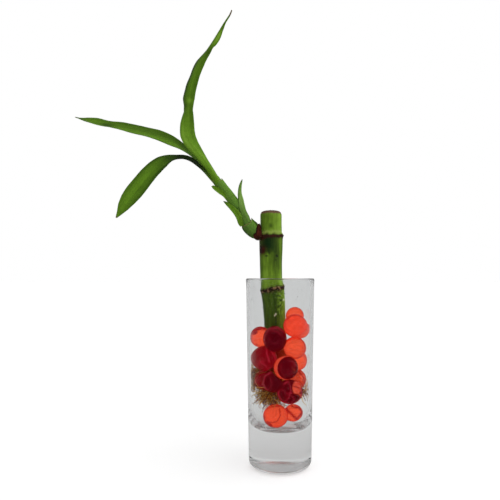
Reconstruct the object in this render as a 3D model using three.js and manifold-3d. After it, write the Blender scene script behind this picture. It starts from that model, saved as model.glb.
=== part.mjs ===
// Lucky bamboo cutting in a tall glass, held up by red gel beads.
// Millimetres, +Z up, origin at the centre of the glass's flat foot.
// +X is to the right and +Y away when the plant is seen from its best side.

import * as THREE from 'three';
import { mergeVertices } from 'three/addons/utils/BufferGeometryUtils.js';
import Module from 'manifold-3d';

const wasm = await Module();
wasm.setup();

const DEGREE = Math.PI / 180;
const UP = new THREE.Vector3(0, 0, 1);
const DEPTH = new THREE.Vector3(0, 1, 0);

// Driving dimensions

// Gap between pieces that touch
const SEAT_GAP = 0.3;

// The glass: a tall shot glass with a thick solid base
const GLASS_HEIGHT = 106.3;
const GLASS_RIM_RADIUS = 19.3;
const GLASS_BASE_RADIUS = 17.6;
const GLASS_HEEL_RADIUS = 5;
const GLASS_WALL = 1.7;
const GLASS_FLOOR = 22;
const GLASS_CORNER_TOP = 37;
const GLASS_CORNER_WIDTH = 7;
const GLASS_SIDES = 48;

// The cane: its centre line as [x, y, z]
const CANE_LINE = [
  [-1.4, 7.7, 54],
  [-2.3, 8.2, 76],
  [-3.2, 8.6, 93],
  [-4.0, 8.8, 100],
  [-4.6, 8.9, 105],
  [-4.8, 9, 115],
  [-4.8, 9, 147],
];
// The cane's sections as [z, radius, slope to the right], with a ridge at each ring
const CANE_SECTIONS = [
  [54.6, 5.7, 0],
  [55.5, 6.2, 0],
  [68, 6.3, 0],
  [83, 6.3, 0.02],
  [91, 6.55, 0.05],
  [96.5, 6.75, 0.12],
  [98.8, 6.9, 0.16],
  [99.8, 7.2, 0.16],
  [100.8, 7.15, 0.16],
  [101.8, 6.6, 0.16],
  [104, 6.35, 0.1],
  [109, 6.35, 0],
  [116, 6.45, 0],
  [123, 6.7, 0],
  [128.5, 6.8, 0.01],
  [130.6, 6.9, 0.02],
  [131.9, 6.7, 0.02],
  [133.2, 6.25, 0.02],
  [139, 6.15, 0],
  [143.6, 6.2, 0],
  [145, 6.1, 0],
  [145.6, 5.0, 0],
];
const CANE_SIDES = 20;
const CANE_END = CANE_SECTIONS[0][0];

// The side shoot, from inside the cane's upper ring to its mouth, as [x, y, z, radius].
// The steps in radius are the rims of its clasping sheaths.
const SHOOT = [
  [-8.5, 8.1, 130.9, 3.1],
  [-11.6, 7.6, 132.1, 3.4],
  [-14.7, 7.4, 133.5, 3.8],
  [-17.2, 7.2, 135.8, 3.9],
  [-18.9, 7.1, 138.0, 3.7],
  [-19.3, 7.0, 138.7, 3.1],
  [-21.6, 6.8, 142.7, 3.2],
  [-24.2, 6.6, 147.6, 3.2],
  [-26.2, 6.5, 150.4, 3.1],
  [-26.9, 6.4, 151.3, 2.85],
  [-29.4, 6.3, 154.6, 2.95],
  [-32.6, 6.2, 158.6, 2.9],
  [-35.0, 6.1, 161.5, 2.75],
  [-37.1, 6.0, 164.3, 2.5],
];
const SHOOT_SIDES = 14;
const SHOOT_FLATNESS = 0.88;
const SHEATH_SIDES = 8;

// Torn and pointed ends of the shoot's sheaths, each as a list of [x, y, z, radius]
const SHEATH_ENDS = [
  [[-14.8, 6.6, 136.2, 1.7], [-15.1, 6.3, 138.6, 1.3], [-16.0, 6.2, 141.0, 0.4]],
  [[-24.2, 5.6, 144.6, 1.8], [-27.6, 5.2, 147.8, 1.3], [-30.2, 4.9, 149.7, 0.95], [-32.3, 4.7, 151.1, 0.4]],
  [[-30.4, 5.8, 153.8, 1.7], [-34.0, 5.3, 156.1, 1.35], [-36.8, 5.0, 158.2, 1.0], [-38.7, 4.8, 159.6, 0.55]],
  [[-31.6, 5.6, 160.4, 1.0], [-32.3, 5.4, 162.6, 0.7], [-32.9, 5.3, 164.3, 0.35]],
];

// Sides of the small rolled pieces beside the shoot
const SMALL_PIECE_SIDES = 10;

// The dried red scale in the fork between shoot and cane, as [x, y, z, half width, half depth]
const RED_SCALE = [
  [-12.9, 4.9, 128.7, 1.2, 0.9],
  [-12.7, 4.6, 130.2, 2.3, 1.5],
  [-12.2, 4.7, 132.6, 2.1, 1.5],
  [-11.9, 5.4, 135.2, 1.5, 1.4],
  [-11.8, 6.4, 137.1, 0.8, 1.0],
];

// The young rolled leaf that stands up beside the shoot, as [x, y, z, half width, half depth]
const SPEAR_LEAF = [
  [-20.0, 5.2, 141.8, 1.3, 1.0],
  [-21.0, 4.8, 145.2, 1.7, 1.4],
  [-22.0, 4.6, 148.7, 1.95, 1.5],
  [-22.8, 5.0, 152.7, 1.45, 1.2],
  [-23.1, 5.3, 156.9, 0.95, 0.85],
  [-22.5, 5.3, 160.4, 0.75, 0.7],
  [-21.5, 5.2, 163.3, 0.35, 0.35],
];

// The three long leaves. Each station is [x, y, z, half width, roll, wrap]: the midrib's place,
// half the blade's width measured round its section, the turn of the blade about its midrib
// (0 faces -Y) and the angle that the section bends through, all angles in degrees.
const LEAF_THICKNESS = 0.66;
const LEAF_COLUMNS = 6;
const LEAF_UPRIGHT = {
  stations: [
    [-36.0, 5.5, 165.6, 2.3, -110, 170],
    [-40.1, 5.2, 170.8, 2.5, -128, 140],
    [-43.6, 5.2, 175.2, 2.9, -148, 105],
    [-47.6, 5.5, 180.3, 3.5, -163, 80],
    [-51.0, 6.2, 185.0, 4.1, -172, 60],
    [-53.1, 6.8, 189.8, 4.5, -180, 50],
    [-53.6, 7.2, 196.0, 4.3, -192, 50],
    [-53.2, 7.5, 203.6, 3.9, -220, 50],
    [-52.8, 7.0, 210.4, 4.3, -206, 50],
    [-51.3, 6.0, 217.0, 4.0, -208, 50],
    [-49.3, 4.5, 223.3, 4.1, -222, 55],
    [-45.9, 3.0, 229.7, 3.6, -218, 60],
    [-40.9, 1.5, 235.9, 2.8, -228, 60],
    [-35.8, 0.0, 242.1, 1.8, -213, 60],
    [-33.4, -1.0, 246.2, 1.1, -205, 60],
    [-31.1, -2.0, 250.2, 0.62, -200, 50],
    [-28.2, -3.0, 254.3, 0.5, -200, 40],
    [-27.2, -3.3, 256.6, 0.35, -200, 30],
  ],
  rows: 40,
  wave: 0.35,
  waves: 4,
};
const LEAF_LEFT = {
  stations: [
    [-38.3, 7.8, 164.1, 1.4, 60, 90],
    [-42.4, 8.8, 170.1, 1.9, 60, 85],
    [-46.6, 9.5, 174.5, 2.5, 58, 78],
    [-51.8, 10.1, 178.9, 3.3, 54, 70],
    [-57.1, 10.5, 182.7, 4.1, 50, 62],
    [-63.6, 11.0, 186.4, 4.5, 44, 58],
    [-72.4, 11.6, 189.8, 4.7, 41, 56],
    [-82.0, 12.3, 192.5, 4.4, 43, 56],
    [-89.8, 12.8, 194.6, 3.9, 48, 58],
    [-96.5, 13.4, 196.1, 3.7, 50, 60],
    [-102.5, 13.8, 197.6, 3.4, 50, 60],
    [-108.0, 14.2, 199.2, 2.5, 52, 55],
    [-114.1, 14.6, 200.3, 1.7, 50, 50],
    [-118.3, 14.9, 201.2, 0.7, 50, 40],
    [-120.6, 15.0, 201.9, 0.35, 50, 30],
  ],
  rows: 32,
  wave: 0.4,
  waves: 5,
};
const LEAF_DROOPING = {
  stations: [
    [-39.5, 5.5, 163.1, 1.6, 86, 80],
    [-44.0, 4.8, 168.9, 1.8, 80, 88],
    [-47.0, 4.4, 171.6, 2.0, 74, 92],
    [-50.5, 4.1, 174.0, 2.2, 70, 95],
    [-54.4, 3.4, 175.2, 2.4, 68, 90],
    [-58.6, 2.6, 175.2, 3.0, 64, 80],
    [-62.8, 1.7, 174.3, 3.7, 50, 66],
    [-66.6, 0.8, 172.1, 4.3, 30, 52],
    [-70.7, -0.4, 168.4, 4.8, 18, 42],
    [-74.7, -1.8, 163.9, 5.1, 10, 38],
    [-78.2, -3.0, 159.2, 5.1, 8, 36],
    [-81.5, -4.2, 154.1, 4.8, 8, 36],
    [-84.4, -5.2, 149.7, 4.1, 8, 38],
    [-87.0, -6.0, 145.9, 3.1, 8, 40],
    [-89.3, -6.6, 142.6, 1.7, 8, 40],
    [-91.1, -7.0, 139.9, 0.4, 8, 30],
  ],
  rows: 36,
  wave: 0.3,
  waves: 4,
};

// The gel beads, from the top down, as [x, y, z, radius]. They are then settled against
// each other, the glass and the cane.
const BEADS = [
  [9.3, 7.6, 84.6, 5.0],
  [8.2, -7.8, 79.5, 6.0],
  [12.0, 2.2, 77.6, 5.1],
  [-10.9, -1.4, 73.4, 5.4],
  [-3.4, -9.9, 73.2, 6.1],
  [7.6, -5.8, 66.8, 6.0],
  [-8.9, -5.4, 62.0, 6.2],
  [11.2, 4.4, 58.6, 5.3],
  [2.0, -10.0, 56.6, 6.2],
  [9.4, 1.6, 49.8, 5.2],
  [-8.0, -0.6, 49.4, 5.6],
  [-4.2, -11.0, 50.0, 5.1],
  [4.7, -8.9, 44.2, 6.2],
  [-2.7, -4.0, 29.0, 6.5],
  [8.0, 2.6, 29.4, 5.2],
];
const BEAD_DETAIL = 2;
const SETTLING_PASSES = 400;
const SETTLING_SHARE = 0.5;

// The roots under the cane's cut end, which stay below the ceiling
const ROOT_CROWN_RADIUS = 5.0;
const ROOT_CROWN_DEPTH = 2.6;
const ROOT_START_RADIUS = 2.4;
const ROOT_COUNT = 16;
const ROOT_SEED = 7;
const ROOT_TURN = 137.5;
const ROOT_WANDER = 1.3;
const ROOT_SINKING = 0.2;
const ROOT_RADIUS = 0.8;
const ROOT_TIP_RADIUS = 0.4;
const ROOT_STEP = 2.3;
const ROOT_STEPS_MIN = 7;
const ROOT_STEPS_SPREAD = 8;
const ROOT_SIDES = 5;
const ROOT_CEILING = 52;
// Room between a root's centre line and what it passes
const ROOT_ROOM = ROOT_RADIUS + SEAT_GAP * 2;
const ROOT_CLEARING_PASSES = 6;
// One root that climbs the left wall of the glass, as [x, y, z]
const CLIMBING_ROOT = [
  [-3.5, 8, 51.4],
  [-8, 9, 48.6],
  [-12, 8.4, 48.4],
  [-14.2, 6.2, 51],
  [-14.6, 5.4, 54.5],
  [-14.6, 5.4, 57.8],
];

// Colours
const COLOURS = {
  glass: 0xdfe4e6,
  cane: 0x47701f,
  shoot: 0x3f7420,
  redScale: 0x4a1418,
  leaf: 0x4f8a22,
  leafDark: 0x2f5f1c,
  bead: 0xe8341c,
  root: 0x8a6a34,
};

// Helpers for closed meshes

// Numbers from 0 to 1 that are the same on every run
function seededRandom(seed) {
  let state = seed;
  return () => {
    state = (state * 16807) % 2147483647;
    return state / 2147483647;
  };
}

// Turns the faces outward if the mesh encloses a negative volume
function facingOut(geometry) {
  const index = geometry.index.array;
  const at = geometry.attributes.position;
  const a = new THREE.Vector3();
  const b = new THREE.Vector3();
  const c = new THREE.Vector3();
  let volume = 0;
  for (let i = 0; i < index.length; i += 3) {
    a.fromBufferAttribute(at, index[i]);
    b.fromBufferAttribute(at, index[i + 1]);
    c.fromBufferAttribute(at, index[i + 2]);
    volume += a.dot(b.cross(c));
  }
  if (volume < 0) {
    for (let i = 0; i < index.length; i += 3) {
      [index[i + 1], index[i + 2]] = [index[i + 2], index[i + 1]];
    }
  }
  return geometry;
}

function meshGeometry(points, triangles) {
  const geometry = new THREE.BufferGeometry();
  geometry.setAttribute('position', new THREE.Float32BufferAttribute(points.flatMap((p) => p.toArray()), 3));
  geometry.setIndex(triangles);
  return facingOut(geometry);
}

// Skins a row of rings with the same number of points and closes both ends
function loft(rings) {
  const count = rings[0].length;
  const points = rings.flat();
  const triangles = [];
  for (let i = 0; i + 1 < rings.length; i += 1) {
    for (let j = 0; j < count; j += 1) {
      const a = i * count + j;
      const b = i * count + ((j + 1) % count);
      triangles.push(a, b, b + count, a, b + count, a + count);
    }
  }
  const ends = [[0, rings[0], 1], [(rings.length - 1) * count, rings[rings.length - 1], -1]];
  for (const [first, ring, sense] of ends) {
    const middle = ring.reduce((sum, p) => sum.add(p), new THREE.Vector3()).divideScalar(count);
    const centre = points.length;
    points.push(middle);
    for (let j = 0; j < count; j += 1) {
      const a = first + j;
      const b = first + ((j + 1) % count);
      triangles.push(centre, sense > 0 ? b : a, sense > 0 ? a : b);
    }
  }
  return meshGeometry(points, triangles);
}

// A tube along [x, y, z, half width, half depth] stations, the width seen from -Y
function hornLoft(stations, sides, grow = 0) {
  const places = stations.map(([x, y, z]) => new THREE.Vector3(x, y, z));
  return loft(stations.map(([, , , width, depth = width], i) => {
    const before = places[Math.max(i - 1, 0)];
    const after = places[Math.min(i + 1, places.length - 1)];
    const along = after.clone().sub(before).normalize();
    const side = DEPTH.clone().cross(along).normalize();
    const front = along.clone().cross(side);
    return Array.from({ length: sides }, (_, j) => {
      const angle = (2 * Math.PI * j) / sides;
      return places[i].clone()
        .addScaledVector(side, (width + grow) * Math.cos(angle))
        .addScaledVector(front, (depth + grow) * Math.sin(angle));
    });
  }));
}

function toSolid(source) {
  const bare = source.clone();
  bare.deleteAttribute('normal');
  bare.deleteAttribute('uv');
  const merged = mergeVertices(bare, 1e-4);
  const index = merged.index.array;
  const kept = [];
  for (let i = 0; i < index.length; i += 3) {
    const [a, b, c] = [index[i], index[i + 1], index[i + 2]];
    if (a !== b && b !== c && c !== a) {
      kept.push(a, b, c);
    }
  }
  return new wasm.Manifold(new wasm.Mesh({
    numProp: 3,
    vertProperties: new Float32Array(merged.attributes.position.array),
    triVerts: new Uint32Array(kept),
  }));
}

// The largest connected piece of a solid, so that no loose scrap is left
function largest(solid) {
  return solid.decompose().reduce((best, piece) => (piece.volume() > best.volume() ? piece : best));
}

function toGeometry(solid) {
  const mesh = solid.getMesh();
  const geometry = new THREE.BufferGeometry();
  geometry.setAttribute('position', new THREE.Float32BufferAttribute(mesh.vertProperties, 3));
  geometry.setIndex(Array.from(mesh.triVerts));
  return geometry;
}

// The glass

function glassOuterRadius(z) {
  return THREE.MathUtils.lerp(GLASS_BASE_RADIUS, GLASS_RIM_RADIUS, z / GLASS_HEIGHT);
}

const CORNER_TOP_RADIUS = glassOuterRadius(GLASS_CORNER_TOP) - GLASS_WALL;
const FLAT_FLOOR_RADIUS = CORNER_TOP_RADIUS - GLASS_CORNER_WIDTH;

// The inside of the glass as [radius, z], from the middle of the floor up to the rim
function cavityProfile() {
  const corner = Array.from({ length: 9 }, (_, i) => {
    const angle = (i / 8) * 90 * DEGREE;
    return [
      FLAT_FLOOR_RADIUS + GLASS_CORNER_WIDTH * Math.sin(angle),
      GLASS_CORNER_TOP - (GLASS_CORNER_TOP - GLASS_FLOOR) * Math.cos(angle),
    ];
  });
  const rimTop = GLASS_HEIGHT - GLASS_WALL / 2;
  return [[0, GLASS_FLOOR], ...corner, [GLASS_RIM_RADIUS - GLASS_WALL, rimTop]];
}

function glassGeometry() {
  const heel = Array.from({ length: 7 }, (_, i) => {
    const angle = (i / 6) * 90 * DEGREE;
    return [
      glassOuterRadius(GLASS_HEEL_RADIUS) - GLASS_HEEL_RADIUS * (1 - Math.sin(angle)),
      GLASS_HEEL_RADIUS * (1 - Math.cos(angle)),
    ];
  });
  const lip = Array.from({ length: 5 }, (_, i) => {
    const angle = (i / 4) * 180 * DEGREE;
    return [
      GLASS_RIM_RADIUS - (GLASS_WALL / 2) * (1 - Math.cos(angle)),
      GLASS_HEIGHT - (GLASS_WALL / 2) * (1 - Math.sin(angle)),
    ];
  });
  const inside = cavityProfile().reverse().slice(1);
  const outline = [[0, 0], ...heel, ...lip, ...inside].map(([r, z]) => new THREE.Vector2(r, z));
  const turned = new THREE.LatheGeometry(outline, GLASS_SIDES).rotateX(90 * DEGREE);
  return toGeometry(toSolid(turned));
}

// The cane

function caneCentre(z) {
  const line = CANE_LINE;
  const top = line.findIndex((p) => p[2] >= z);
  const upper = line[top < 1 ? 1 : top] ?? line[line.length - 1];
  const lower = line[line.indexOf(upper) - 1];
  const share = (z - lower[2]) / (upper[2] - lower[2]);
  return new THREE.Vector3(
    THREE.MathUtils.lerp(lower[0], upper[0], share),
    THREE.MathUtils.lerp(lower[1], upper[1], share),
    z,
  );
}

function caneRadius(z) {
  const above = CANE_SECTIONS.findIndex(([height]) => height >= z);
  if (above < 1) {
    return CANE_SECTIONS[above < 0 ? CANE_SECTIONS.length - 1 : 1][1];
  }
  const [z0, r0] = CANE_SECTIONS[above - 1];
  const [z1, r1] = CANE_SECTIONS[above];
  return THREE.MathUtils.lerp(r0, r1, (z - z0) / (z1 - z0));
}

function caneGeometry(grow = 0) {
  return loft(CANE_SECTIONS.map(([z, radius, slope]) => {
    const centre = caneCentre(z);
    return Array.from({ length: CANE_SIDES }, (_, j) => {
      const angle = (2 * Math.PI * j) / CANE_SIDES;
      const across = (radius + grow) * Math.cos(angle);
      return new THREE.Vector3(
        centre.x + across,
        centre.y + (radius + grow) * Math.sin(angle),
        z + slope * across,
      );
    });
  }));
}

// The shoot with its sheaths

function shootGeometry(grow = 0) {
  const stations = SHOOT.map(([x, y, z, r]) => [x, y, z, r, r * SHOOT_FLATNESS]);
  return hornLoft(stations, SHOOT_SIDES, grow);
}

function shootSolid() {
  let shoot = toSolid(shootGeometry());
  for (const end of SHEATH_ENDS) {
    const stations = end.map(([x, y, z, r]) => [x, y, z, r, r * SHOOT_FLATNESS]);
    shoot = shoot.add(toSolid(hornLoft(stations, SHEATH_SIDES)));
  }
  return largest(shoot.subtract(toSolid(caneGeometry(SEAT_GAP))));
}

// A leaf blade: a grid of points on both faces of a bent, rolled and waved strip

function bladeGeometry({ stations, rows, wave, waves }) {
  const midrib = new THREE.CatmullRomCurve3(stations.map(([x, y, z]) => new THREE.Vector3(x, y, z)));
  const last = stations.length - 1;
  const valueAt = (t, column) => {
    const place = t * last;
    const i = Math.min(Math.floor(place), last - 1);
    return THREE.MathUtils.lerp(stations[i][column], stations[i + 1][column], place - i);
  };
  const face = [];
  const back = [];
  for (let i = 0; i <= rows; i += 1) {
    const t = i / rows;
    const middle = midrib.getPoint(t);
    const along = midrib.getTangent(t);
    const flat = DEPTH.clone().cross(along).normalize();
    const deep = along.clone().cross(flat);
    const halfWidth = valueAt(t, 3);
    const roll = valueAt(t, 4) * DEGREE;
    const halfBend = (valueAt(t, 5) / 2) * DEGREE;
    const side = flat.multiplyScalar(Math.cos(roll)).addScaledVector(deep, Math.sin(roll));
    const hollow = side.clone().cross(along);
    const radius = halfWidth / halfBend;
    const swell = wave * Math.sin(Math.PI * t) * Math.min(halfWidth / 2, 1);
    for (let j = 0; j <= LEAF_COLUMNS; j += 1) {
      const v = (2 * j) / LEAF_COLUMNS - 1;
      const angle = v * halfBend;
      const ripple = swell * v * v * Math.sin(2 * Math.PI * waves * t + v);
      const point = middle.clone()
        .addScaledVector(side, radius * Math.sin(angle))
        .addScaledVector(hollow, radius * (1 - Math.cos(angle)) + ripple);
      const normal = hollow.clone().multiplyScalar(Math.cos(angle)).addScaledVector(side, -Math.sin(angle));
      face.push(point.clone().addScaledVector(normal, LEAF_THICKNESS / 2));
      back.push(point.clone().addScaledVector(normal, -LEAF_THICKNESS / 2));
    }
  }
  const columns = LEAF_COLUMNS + 1;
  const size = face.length;
  const triangles = [];
  for (let i = 0; i < rows; i += 1) {
    for (let j = 0; j < LEAF_COLUMNS; j += 1) {
      const a = i * columns + j;
      const b = a + columns;
      triangles.push(a, a + 1, b + 1, a, b + 1, b);
      triangles.push(size + a, size + b + 1, size + a + 1, size + a, size + b, size + b + 1);
    }
    for (const [j, sense] of [[0, 1], [LEAF_COLUMNS, -1]]) {
      const a = i * columns + j;
      const b = a + columns;
      const edge = [a, b, size + b, a, size + b, size + a];
      triangles.push(...(sense > 0 ? edge : edge.reverse()));
    }
  }
  for (const [i, sense] of [[0, 1], [rows, -1]]) {
    for (let j = 0; j < LEAF_COLUMNS; j += 1) {
      const a = i * columns + j;
      const end = [a, a + 1, size + a + 1, a, size + a + 1, size + a];
      triangles.push(...(sense > 0 ? end.reverse() : end));
    }
  }
  return meshGeometry([...face, ...back], triangles);
}

// The beads

// How far a point is from the inside of the glass, and the way back into the cavity
function fromGlass(point) {
  const radius = Math.hypot(point.x, point.y);
  const outward = new THREE.Vector3(point.x, point.y, 0).divideScalar(radius || 1);
  const profile = cavityProfile();
  let nearest = { distance: Infinity };
  for (let i = 0; i + 1 < profile.length; i += 1) {
    const [r0, z0] = profile[i];
    const [r1, z1] = profile[i + 1];
    const length2 = (r1 - r0) ** 2 + (z1 - z0) ** 2;
    const along = ((radius - r0) * (r1 - r0) + (point.z - z0) * (z1 - z0)) / length2;
    const share = THREE.MathUtils.clamp(along, 0, 1);
    const across = radius - THREE.MathUtils.lerp(r0, r1, share);
    const above = point.z - THREE.MathUtils.lerp(z0, z1, share);
    const side = across * (z1 - z0) - above * (r1 - r0);
    const distance = Math.hypot(across, above) * (side > 0 ? -1 : 1);
    if (Math.abs(distance) < Math.abs(nearest.distance)) {
      const inward = outward.clone().multiplyScalar(across / distance);
      nearest = { distance, inward: inward.addScaledVector(UP, above / distance) };
    }
  }
  return nearest;
}

// How far a point is from the cane's surface, and the way out
function fromCane(point) {
  const centre = caneCentre(Math.max(point.z, CANE_END));
  const away = point.clone().sub(centre);
  if (point.z > CANE_END) {
    away.z = 0;
  }
  const distance = away.length() - caneRadius(point.z);
  return { distance, inward: away.normalize() };
}

// Pushes each bead clear of its neighbours, then draws one that touches nothing to its nearest
function settledBeads() {
  const beads = BEADS.map(([x, y, z, radius]) => ({ at: new THREE.Vector3(x, y, z), radius }));
  for (let pass = 0; pass < SETTLING_PASSES; pass += 1) {
    for (const bead of beads) {
      const touches = [fromGlass(bead.at), fromCane(bead.at)];
      for (const other of beads) {
        if (other !== bead) {
          const away = bead.at.clone().sub(other.at);
          touches.push({ distance: away.length() - other.radius, inward: away.normalize() });
        }
      }
      let closest = touches[0];
      for (const touch of touches) {
        const overlap = bead.radius + SEAT_GAP - touch.distance;
        if (overlap > 0) {
          bead.at.addScaledVector(touch.inward, overlap * SETTLING_SHARE);
        }
        if (touch.distance < closest.distance) {
          closest = touch;
        }
      }
      const spare = closest.distance - bead.radius - SEAT_GAP;
      if (spare > 0) {
        bead.at.addScaledVector(closest.inward, -spare * SETTLING_SHARE);
      }
    }
  }
  return beads;
}

// The roots

function rootTube(places) {
  const curve = new THREE.CatmullRomCurve3(places);
  const steps = places.length - 1;
  const frames = curve.computeFrenetFrames(steps, false);
  const rings = [];
  for (let i = 0; i <= steps; i += 1) {
    const centre = places[i];
    const radius = THREE.MathUtils.lerp(ROOT_RADIUS, ROOT_TIP_RADIUS, i / steps);
    rings.push(Array.from({ length: ROOT_SIDES }, (_, j) => {
      const angle = (2 * Math.PI * j) / ROOT_SIDES;
      return centre.clone()
        .addScaledVector(frames.normals[i], radius * Math.cos(angle))
        .addScaledVector(frames.binormals[i], radius * Math.sin(angle));
    }));
  }
  return loft(rings);
}

// Moves a point of a root out of the beads, the glass and the cane
function clearOf(point, beads) {
  for (let pass = 0; pass < ROOT_CLEARING_PASSES; pass += 1) {
    for (const bead of beads) {
      const away = point.clone().sub(bead.at);
      const overlap = bead.radius + ROOT_ROOM - away.length();
      if (overlap > 0) {
        point.addScaledVector(away.normalize(), overlap);
      }
    }
    for (const near of [fromGlass(point), fromCane(point)]) {
      if (near.distance < ROOT_ROOM) {
        point.addScaledVector(near.inward, ROOT_ROOM - near.distance);
      }
    }
  }
  return point;
}

function rootSolid(beads) {
  const random = seededRandom(ROOT_SEED);
  const middle = caneCentre(CANE_END);
  middle.z = CANE_END - SEAT_GAP - ROOT_CROWN_DEPTH;
  const crown = new THREE.SphereGeometry(1, 12, 8)
    .rotateX(90 * DEGREE)
    .scale(ROOT_CROWN_RADIUS, ROOT_CROWN_RADIUS, ROOT_CROWN_DEPTH)
    .translate(middle.x, middle.y, middle.z);
  let roots = toSolid(crown);
  for (let i = 0; i < ROOT_COUNT; i += 1) {
    const outward = new THREE.Vector3(1, 0, 0).applyAxisAngle(UP, i * ROOT_TURN * DEGREE);
    const heading = outward.clone().addScaledVector(UP, -0.3 - 0.7 * random());
    const place = middle.clone().addScaledVector(outward, ROOT_START_RADIUS);
    const places = [place.clone()];
    const steps = ROOT_STEPS_MIN + Math.floor(ROOT_STEPS_SPREAD * random());
    for (let k = 0; k < steps; k += 1) {
      const bend = new THREE.Vector3(random() - 0.5, random() - 0.5, random() - 0.5 - ROOT_SINKING);
      heading.addScaledVector(bend, ROOT_WANDER).normalize();
      const next = place.clone().addScaledVector(heading, ROOT_STEP);
      if (k > 0) {
        clearOf(next, beads);
      }
      next.z = Math.min(next.z, ROOT_CEILING);
      heading.copy(next).sub(place);
      if (heading.length() < ROOT_STEP / 2) {
        break;
      }
      heading.normalize();
      place.copy(next);
      places.push(place.clone());
    }
    if (places.length > 3) {
      roots = roots.add(toSolid(rootTube(places)));
    }
  }
  const climbing = CLIMBING_ROOT.map(([x, y, z]) => new THREE.Vector3(x, y, z));
  roots = roots.add(toSolid(rootTube(climbing)));
  for (const bead of beads) {
    const ball = new THREE.IcosahedronGeometry(bead.radius + SEAT_GAP, 1);
    roots = roots.subtract(toSolid(ball.translate(bead.at.x, bead.at.y, bead.at.z)));
  }
  return largest(roots.subtract(toSolid(caneGeometry(SEAT_GAP))));
}

// The assembly

const plant = new THREE.Group();

function addPiece(name, geometry, color, roughness, extra = {}) {
  const material = new THREE.MeshStandardMaterial({ color, roughness, metalness: 0, ...extra });
  const mesh = new THREE.Mesh(geometry, material);
  mesh.name = name;
  plant.add(mesh);
  return mesh;
}

const beads = settledBeads();

addPiece('glass', glassGeometry(), COLOURS.glass, 0.05, { transparent: true, opacity: 0.3 });
addPiece('cane', caneGeometry(), COLOURS.cane, 0.5);
addPiece('shoot', toGeometry(shootSolid()), COLOURS.shoot, 0.5);

const shootRoom = toSolid(shootGeometry(SEAT_GAP));
const caneRoom = toSolid(caneGeometry(SEAT_GAP));
const scale = toSolid(hornLoft(RED_SCALE, SMALL_PIECE_SIDES)).subtract(shootRoom).subtract(caneRoom);
addPiece('red_scale', toGeometry(largest(scale)), COLOURS.redScale, 0.7);
const spear = toSolid(hornLoft(SPEAR_LEAF, SMALL_PIECE_SIDES)).subtract(shootRoom);
addPiece('leaf_spear', toGeometry(largest(spear)), COLOURS.leaf, 0.5);

addPiece('leaf_upright', bladeGeometry(LEAF_UPRIGHT), COLOURS.leaf, 0.45);
addPiece('leaf_left', bladeGeometry(LEAF_LEFT), COLOURS.leafDark, 0.45);
addPiece('leaf_drooping', bladeGeometry(LEAF_DROOPING), COLOURS.leafDark, 0.45);
addPiece('roots', toGeometry(rootSolid(beads)), COLOURS.root, 0.8);

beads.forEach((bead, i) => {
  const ball = new THREE.IcosahedronGeometry(bead.radius, BEAD_DETAIL);
  const name = `bead_${String(i + 1).padStart(2, '0')}`;
  const clear = { transparent: true, opacity: 0.8 };
  addPiece(name, toGeometry(toSolid(ball)), COLOURS.bead, 0.05, clear).position.copy(bead.at);
});

export default plant;
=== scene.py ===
import math
import random

import bmesh
import bpy
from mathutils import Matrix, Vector, noise


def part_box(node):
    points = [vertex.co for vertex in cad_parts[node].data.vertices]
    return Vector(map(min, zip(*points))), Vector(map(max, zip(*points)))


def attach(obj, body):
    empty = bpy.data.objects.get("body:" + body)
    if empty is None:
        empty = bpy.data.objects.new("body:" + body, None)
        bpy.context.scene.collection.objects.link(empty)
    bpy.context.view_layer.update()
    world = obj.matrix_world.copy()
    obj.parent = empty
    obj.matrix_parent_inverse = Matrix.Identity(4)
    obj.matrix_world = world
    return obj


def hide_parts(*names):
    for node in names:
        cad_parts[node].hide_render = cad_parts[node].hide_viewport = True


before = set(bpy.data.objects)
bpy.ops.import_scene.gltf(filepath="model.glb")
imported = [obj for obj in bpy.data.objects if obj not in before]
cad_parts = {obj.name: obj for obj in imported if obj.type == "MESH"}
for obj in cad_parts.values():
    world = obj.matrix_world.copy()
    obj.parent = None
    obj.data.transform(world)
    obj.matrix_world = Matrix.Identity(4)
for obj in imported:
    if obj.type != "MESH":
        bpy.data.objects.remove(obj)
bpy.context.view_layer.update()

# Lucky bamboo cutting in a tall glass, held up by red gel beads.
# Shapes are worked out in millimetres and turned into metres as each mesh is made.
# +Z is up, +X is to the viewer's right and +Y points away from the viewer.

MM = 0.001
UP = Vector((0, 0, 1))
DEPTH = Vector((0, 1, 0))
TURN = 2 * math.pi

# The view: a camera level with the glass's rim, with the frame shifted up to take in the leaves
CAMERA_PLACE = (-17, -318, 106)
CAMERA_LENS = 40.46
CAMERA_SENSOR = 36
CAMERA_SHIFT_UP = 0.058
LIGHT_BOUNCES = 32
BACKDROP_LIGHT = 0.6
KEY_LIGHT = 1.7
KEY_DIRECTION = (0.68, -0.5, 0.53)
MIRRORED_SHARE = 0.9
KEY_THROUGH_GLASS = 0.25
FLOOR_REACH = 40
FLOOR_DROP = 0.0001
FLOOR_GLOW = 0.42

# The glass
GLASS_HEIGHT = 106.3
GLASS_RIM_RADIUS = 19.3
GLASS_BASE_RADIUS = 17.6
GLASS_HEEL_RADIUS = 5
GLASS_WALL = 1.7
GLASS_FLOOR = 22
GLASS_CORNER_TOP = 37
GLASS_CORNER_WIDTH = 7
GLASS_SIDES = 192
GLASS_LIP = GLASS_HEIGHT - GLASS_WALL / 2
GLASS_FOOT = [(0, 0.25), (6, 0.22), (10.5, 0.12)]
GLASS_IOR = 1.3
GLASS_SHEEN = (0.1, 0.1, 0.1)

# Where the glass is worn dull, as (height at which it begins, height of the full wear, roughness)
GLASS_WEAR = [(1.2, 0.2, 0.5), (105.0, 105.9, 0.35)]

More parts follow.
